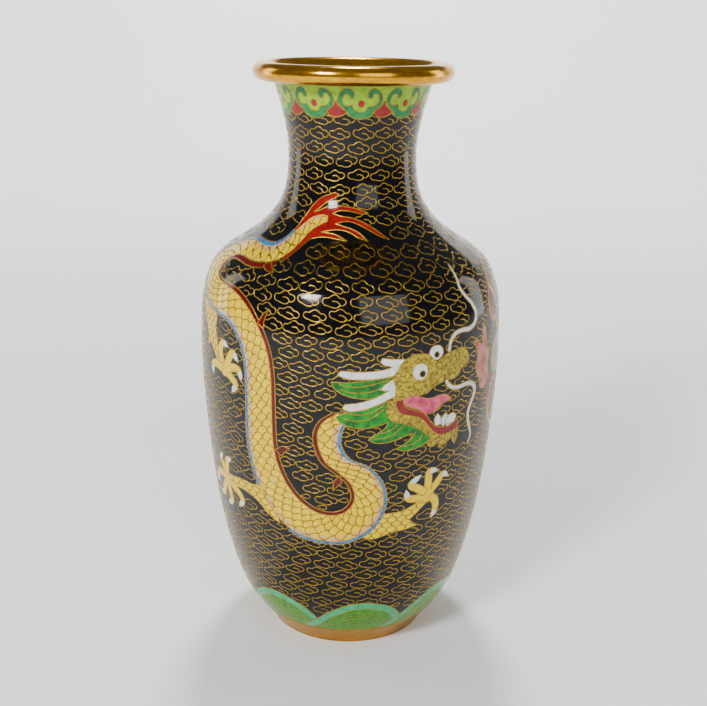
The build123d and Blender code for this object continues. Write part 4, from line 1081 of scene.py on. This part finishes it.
ground = skin()
bead = (34.8, 226.5)
mouth = arc_points(bead, 3.48, -150, 158, 44)
mouth += [(30.6, 226.9), (29.6, 225.6), (28.7, 224.0), (28.0, 222.0), (27.2, 219.5), (26.4, 216.5),
          (25.6, 213.0), (24.8, 209.0), (24.2, 205.0), (24.0, 204.2), (24.4, 204.05), (24.7, 204.3),
          (25.4, 209.0), (27.2, 216.5), (28.4, 220.6), (29.0, 222.6), (30.4, 223.1), (31.3, 223.6)]
rim = spun("mouth_ring", mouth, GILT, 320)
foot_line = [(30.2, 0.02), (31.6, 0.02), *arc_points((31.7, 0.62), 0.6, -80, 0, 6), (32.45, 1.0),
             (33.2, 2.2), (34.4, 4.2), (35.8, 6.3), (37.0, 7.9), (37.35, 8.3)]
foot_line += arc_points((37.7, 8.55), 0.25, 230, 130, 4)
foot_line += arc_points((37.75, 9.35), 0.75, -60, 100, 12)
foot_line += [(36.6, 10.0), (34.4, 9.98), (34.0, 6.0), (30.4, 4.0), (28.9, 1.2), (29.3, 0.3), (29.8, 0.05)]
foot = spun("foot_band", foot_line, GILT_FOOT, 320)

# --- which CAD nodes each piece stands for, and its slot ---
STANDS = {
    "pupil": ("pupils", "black_enamel"), "eye": ("eyes", "white_enamel"),
    "teeth": ("teeth", "white_enamel"), "tongue": ("tongue", "pink_enamel"),
    "lip": ("lip", "red_enamel"), "horn": ("horns", "white_enamel"), "head": ("head", "olive_enamel"),
    "mane": ("mane", "green_enamel"), "whisker": ("whiskers", "white_enamel"),
    "belly": ("belly", "pale_enamel"), "body": ("scales", "yellow_enamel"), "fin": ("fin", "red_enamel"),
    "edge": ("edge", "blue_enamel"), "leg": ("legs", "yellow_enamel"), "claw": ("legs", "white_enamel"),
    "tail": ("tail", "red_enamel"),
}
OTHERS = {
    "pearl_green": ("pearl_green", "green_enamel"), "pearl_pink": ("pearl_pink", "pink_enamel"),
    "pearl_core": ("pearl_core", "red_enamel"), "pearl_flame": ("pearl_flames", "pink_enamel"),
    "collar_scroll": ("collar_scrolls", "green_enamel"), "collar_dot": ("collar_dots", "red_enamel"),
    "collar_scallop": ("collar_scallops", "red_enamel"), "collar_field": ("collar_field", "lime_enamel"),
    "hill_field": ("hill_fields", "leaf_enamel"), "hill_edge": ("hill_borders", "jade_enamel"),
}
for name, piece in pieces.items():
    for start in ("left_dragon_", "right_dragon_"):
        if name.startswith(start):
            node, slot = STANDS[name[len(start):]]
            node = start + node
    if name in OTHERS:
        node, slot = OTHERS[name]
    if node in nodes:
        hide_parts(node)
for piece, replaced, slot in ((ground, "ground_enamel", "black_enamel"),
                              (wire_piece, "collar_wires", "wire_brass"),
                              (wire_piece, "hill_wires", "wire_brass"),
                              (rim, "rim_ring", "gilt_brass"), (foot, "foot_ring", "gilt_brass")):
    if replaced in nodes:
        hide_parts(replaced)
CARRIED = {"lining_enamel": LINING, "base_enamel": LINING, "base_disc": COPPER,
           "copper_body": COPPER, "copper_neck": COPPER}
for name, material in CARRIED.items():
    if name in nodes:
        nodes[name].data.materials.clear()
        nodes[name].data.materials.append(material)

# --- studio ---
paper = Finish("paper_sweep")
paper.links.new(paper.ramp(paper.noise(3.0), [(0.3, (0.86, 0.86, 0.86)), (0.7, (0.9, 0.9, 0.9))]),
                paper.surface.inputs["Base Color"])
paper.surface.inputs["Roughness"].default_value = 0.9
verts, faces = [], []
path = [(-3.0, 0.0), (-1.0, 0.0), (0.6, 0.0)]
path += [(1.0 + 0.6 * math.sin(t), 0.6 - 0.6 * math.cos(t)) for t in np.linspace(0, math.pi / 2, 14)]
path += [(1.6, 0.75), (1.6, 0.95)]
for y, z in path:
    verts += [(-3.0, y, z), (3.0, y, z)]
for i in range(len(path) - 1):
    faces.append((2 * i, 2 * i + 1, 2 * i + 3, 2 * i + 2))
data = bpy.data.meshes.new("sweep")
data.from_pydata(verts, [], faces)
data.shade_smooth()
data.materials.append(paper.material)
sweep = bpy.data.objects.new("sweep", data)
bpy.context.scene.collection.objects.link(sweep)


def softbox(name, place, aim, wide, high, power, colour=(1, 1, 1)):
    data = bpy.data.lights.new(name, "AREA")
    data.shape = "RECTANGLE"
    data.size, data.size_y, data.energy = wide, high, power
    data.color = colour
    light = bpy.data.objects.new(name, data)
    bpy.context.scene.collection.objects.link(light)
    light.location = place
    light.rotation_euler = (Vector(aim) - Vector(place)).to_track_quat("-Z", "Y").to_euler()


softbox("key", (-0.62, -0.95, 0.85), (0, 0, 0.14), 0.28, 0.24, 18)
softbox("window", (0.52, -1.05, 0.62), (0, 0, 0.14), 0.8, 0.7, 4.5)
softbox("floor_wash", (0.0, 0.9, 2.0), (0, 0.1, 0), 0.3, 0.3, 36)
softbox("back_wall", (0.0, 0.85, 1.3), (0, 1.9, 0.8), 2.4, 0.4, 36)
softbox("left_side", (-0.9, 0.35, 0.35), (0, 0, 0.12), 0.25, 0.7, 2)
softbox("right_side", (0.9, 0.35, 0.35), (0, 0, 0.12), 0.25, 0.7, 2)

world = bpy.data.worlds.new("studio")
world.use_nodes = True
world.node_tree.nodes["Background"].inputs["Color"].default_value = (1, 1, 1, 1)
world.node_tree.nodes["Background"].inputs["Strength"].default_value = 0.2
bpy.context.scene.world = world

camera_data = bpy.data.cameras.new("camera")
camera_data.sensor_width = 36
camera_data.lens = 56.83
camera_data.clip_start, camera_data.clip_end = 0.01, 20
camera = bpy.data.objects.new("camera", camera_data)
bpy.context.scene.collection.objects.link(camera)
camera.matrix_world = (Matrix.Translation((0.0014, -0.4347, 0.2511))
                       @ Matrix.Rotation(math.radians(72.56), 4, "X")
                       @ Matrix.Rotation(math.radians(0.759), 4, "Z"))
bpy.context.scene.camera = camera
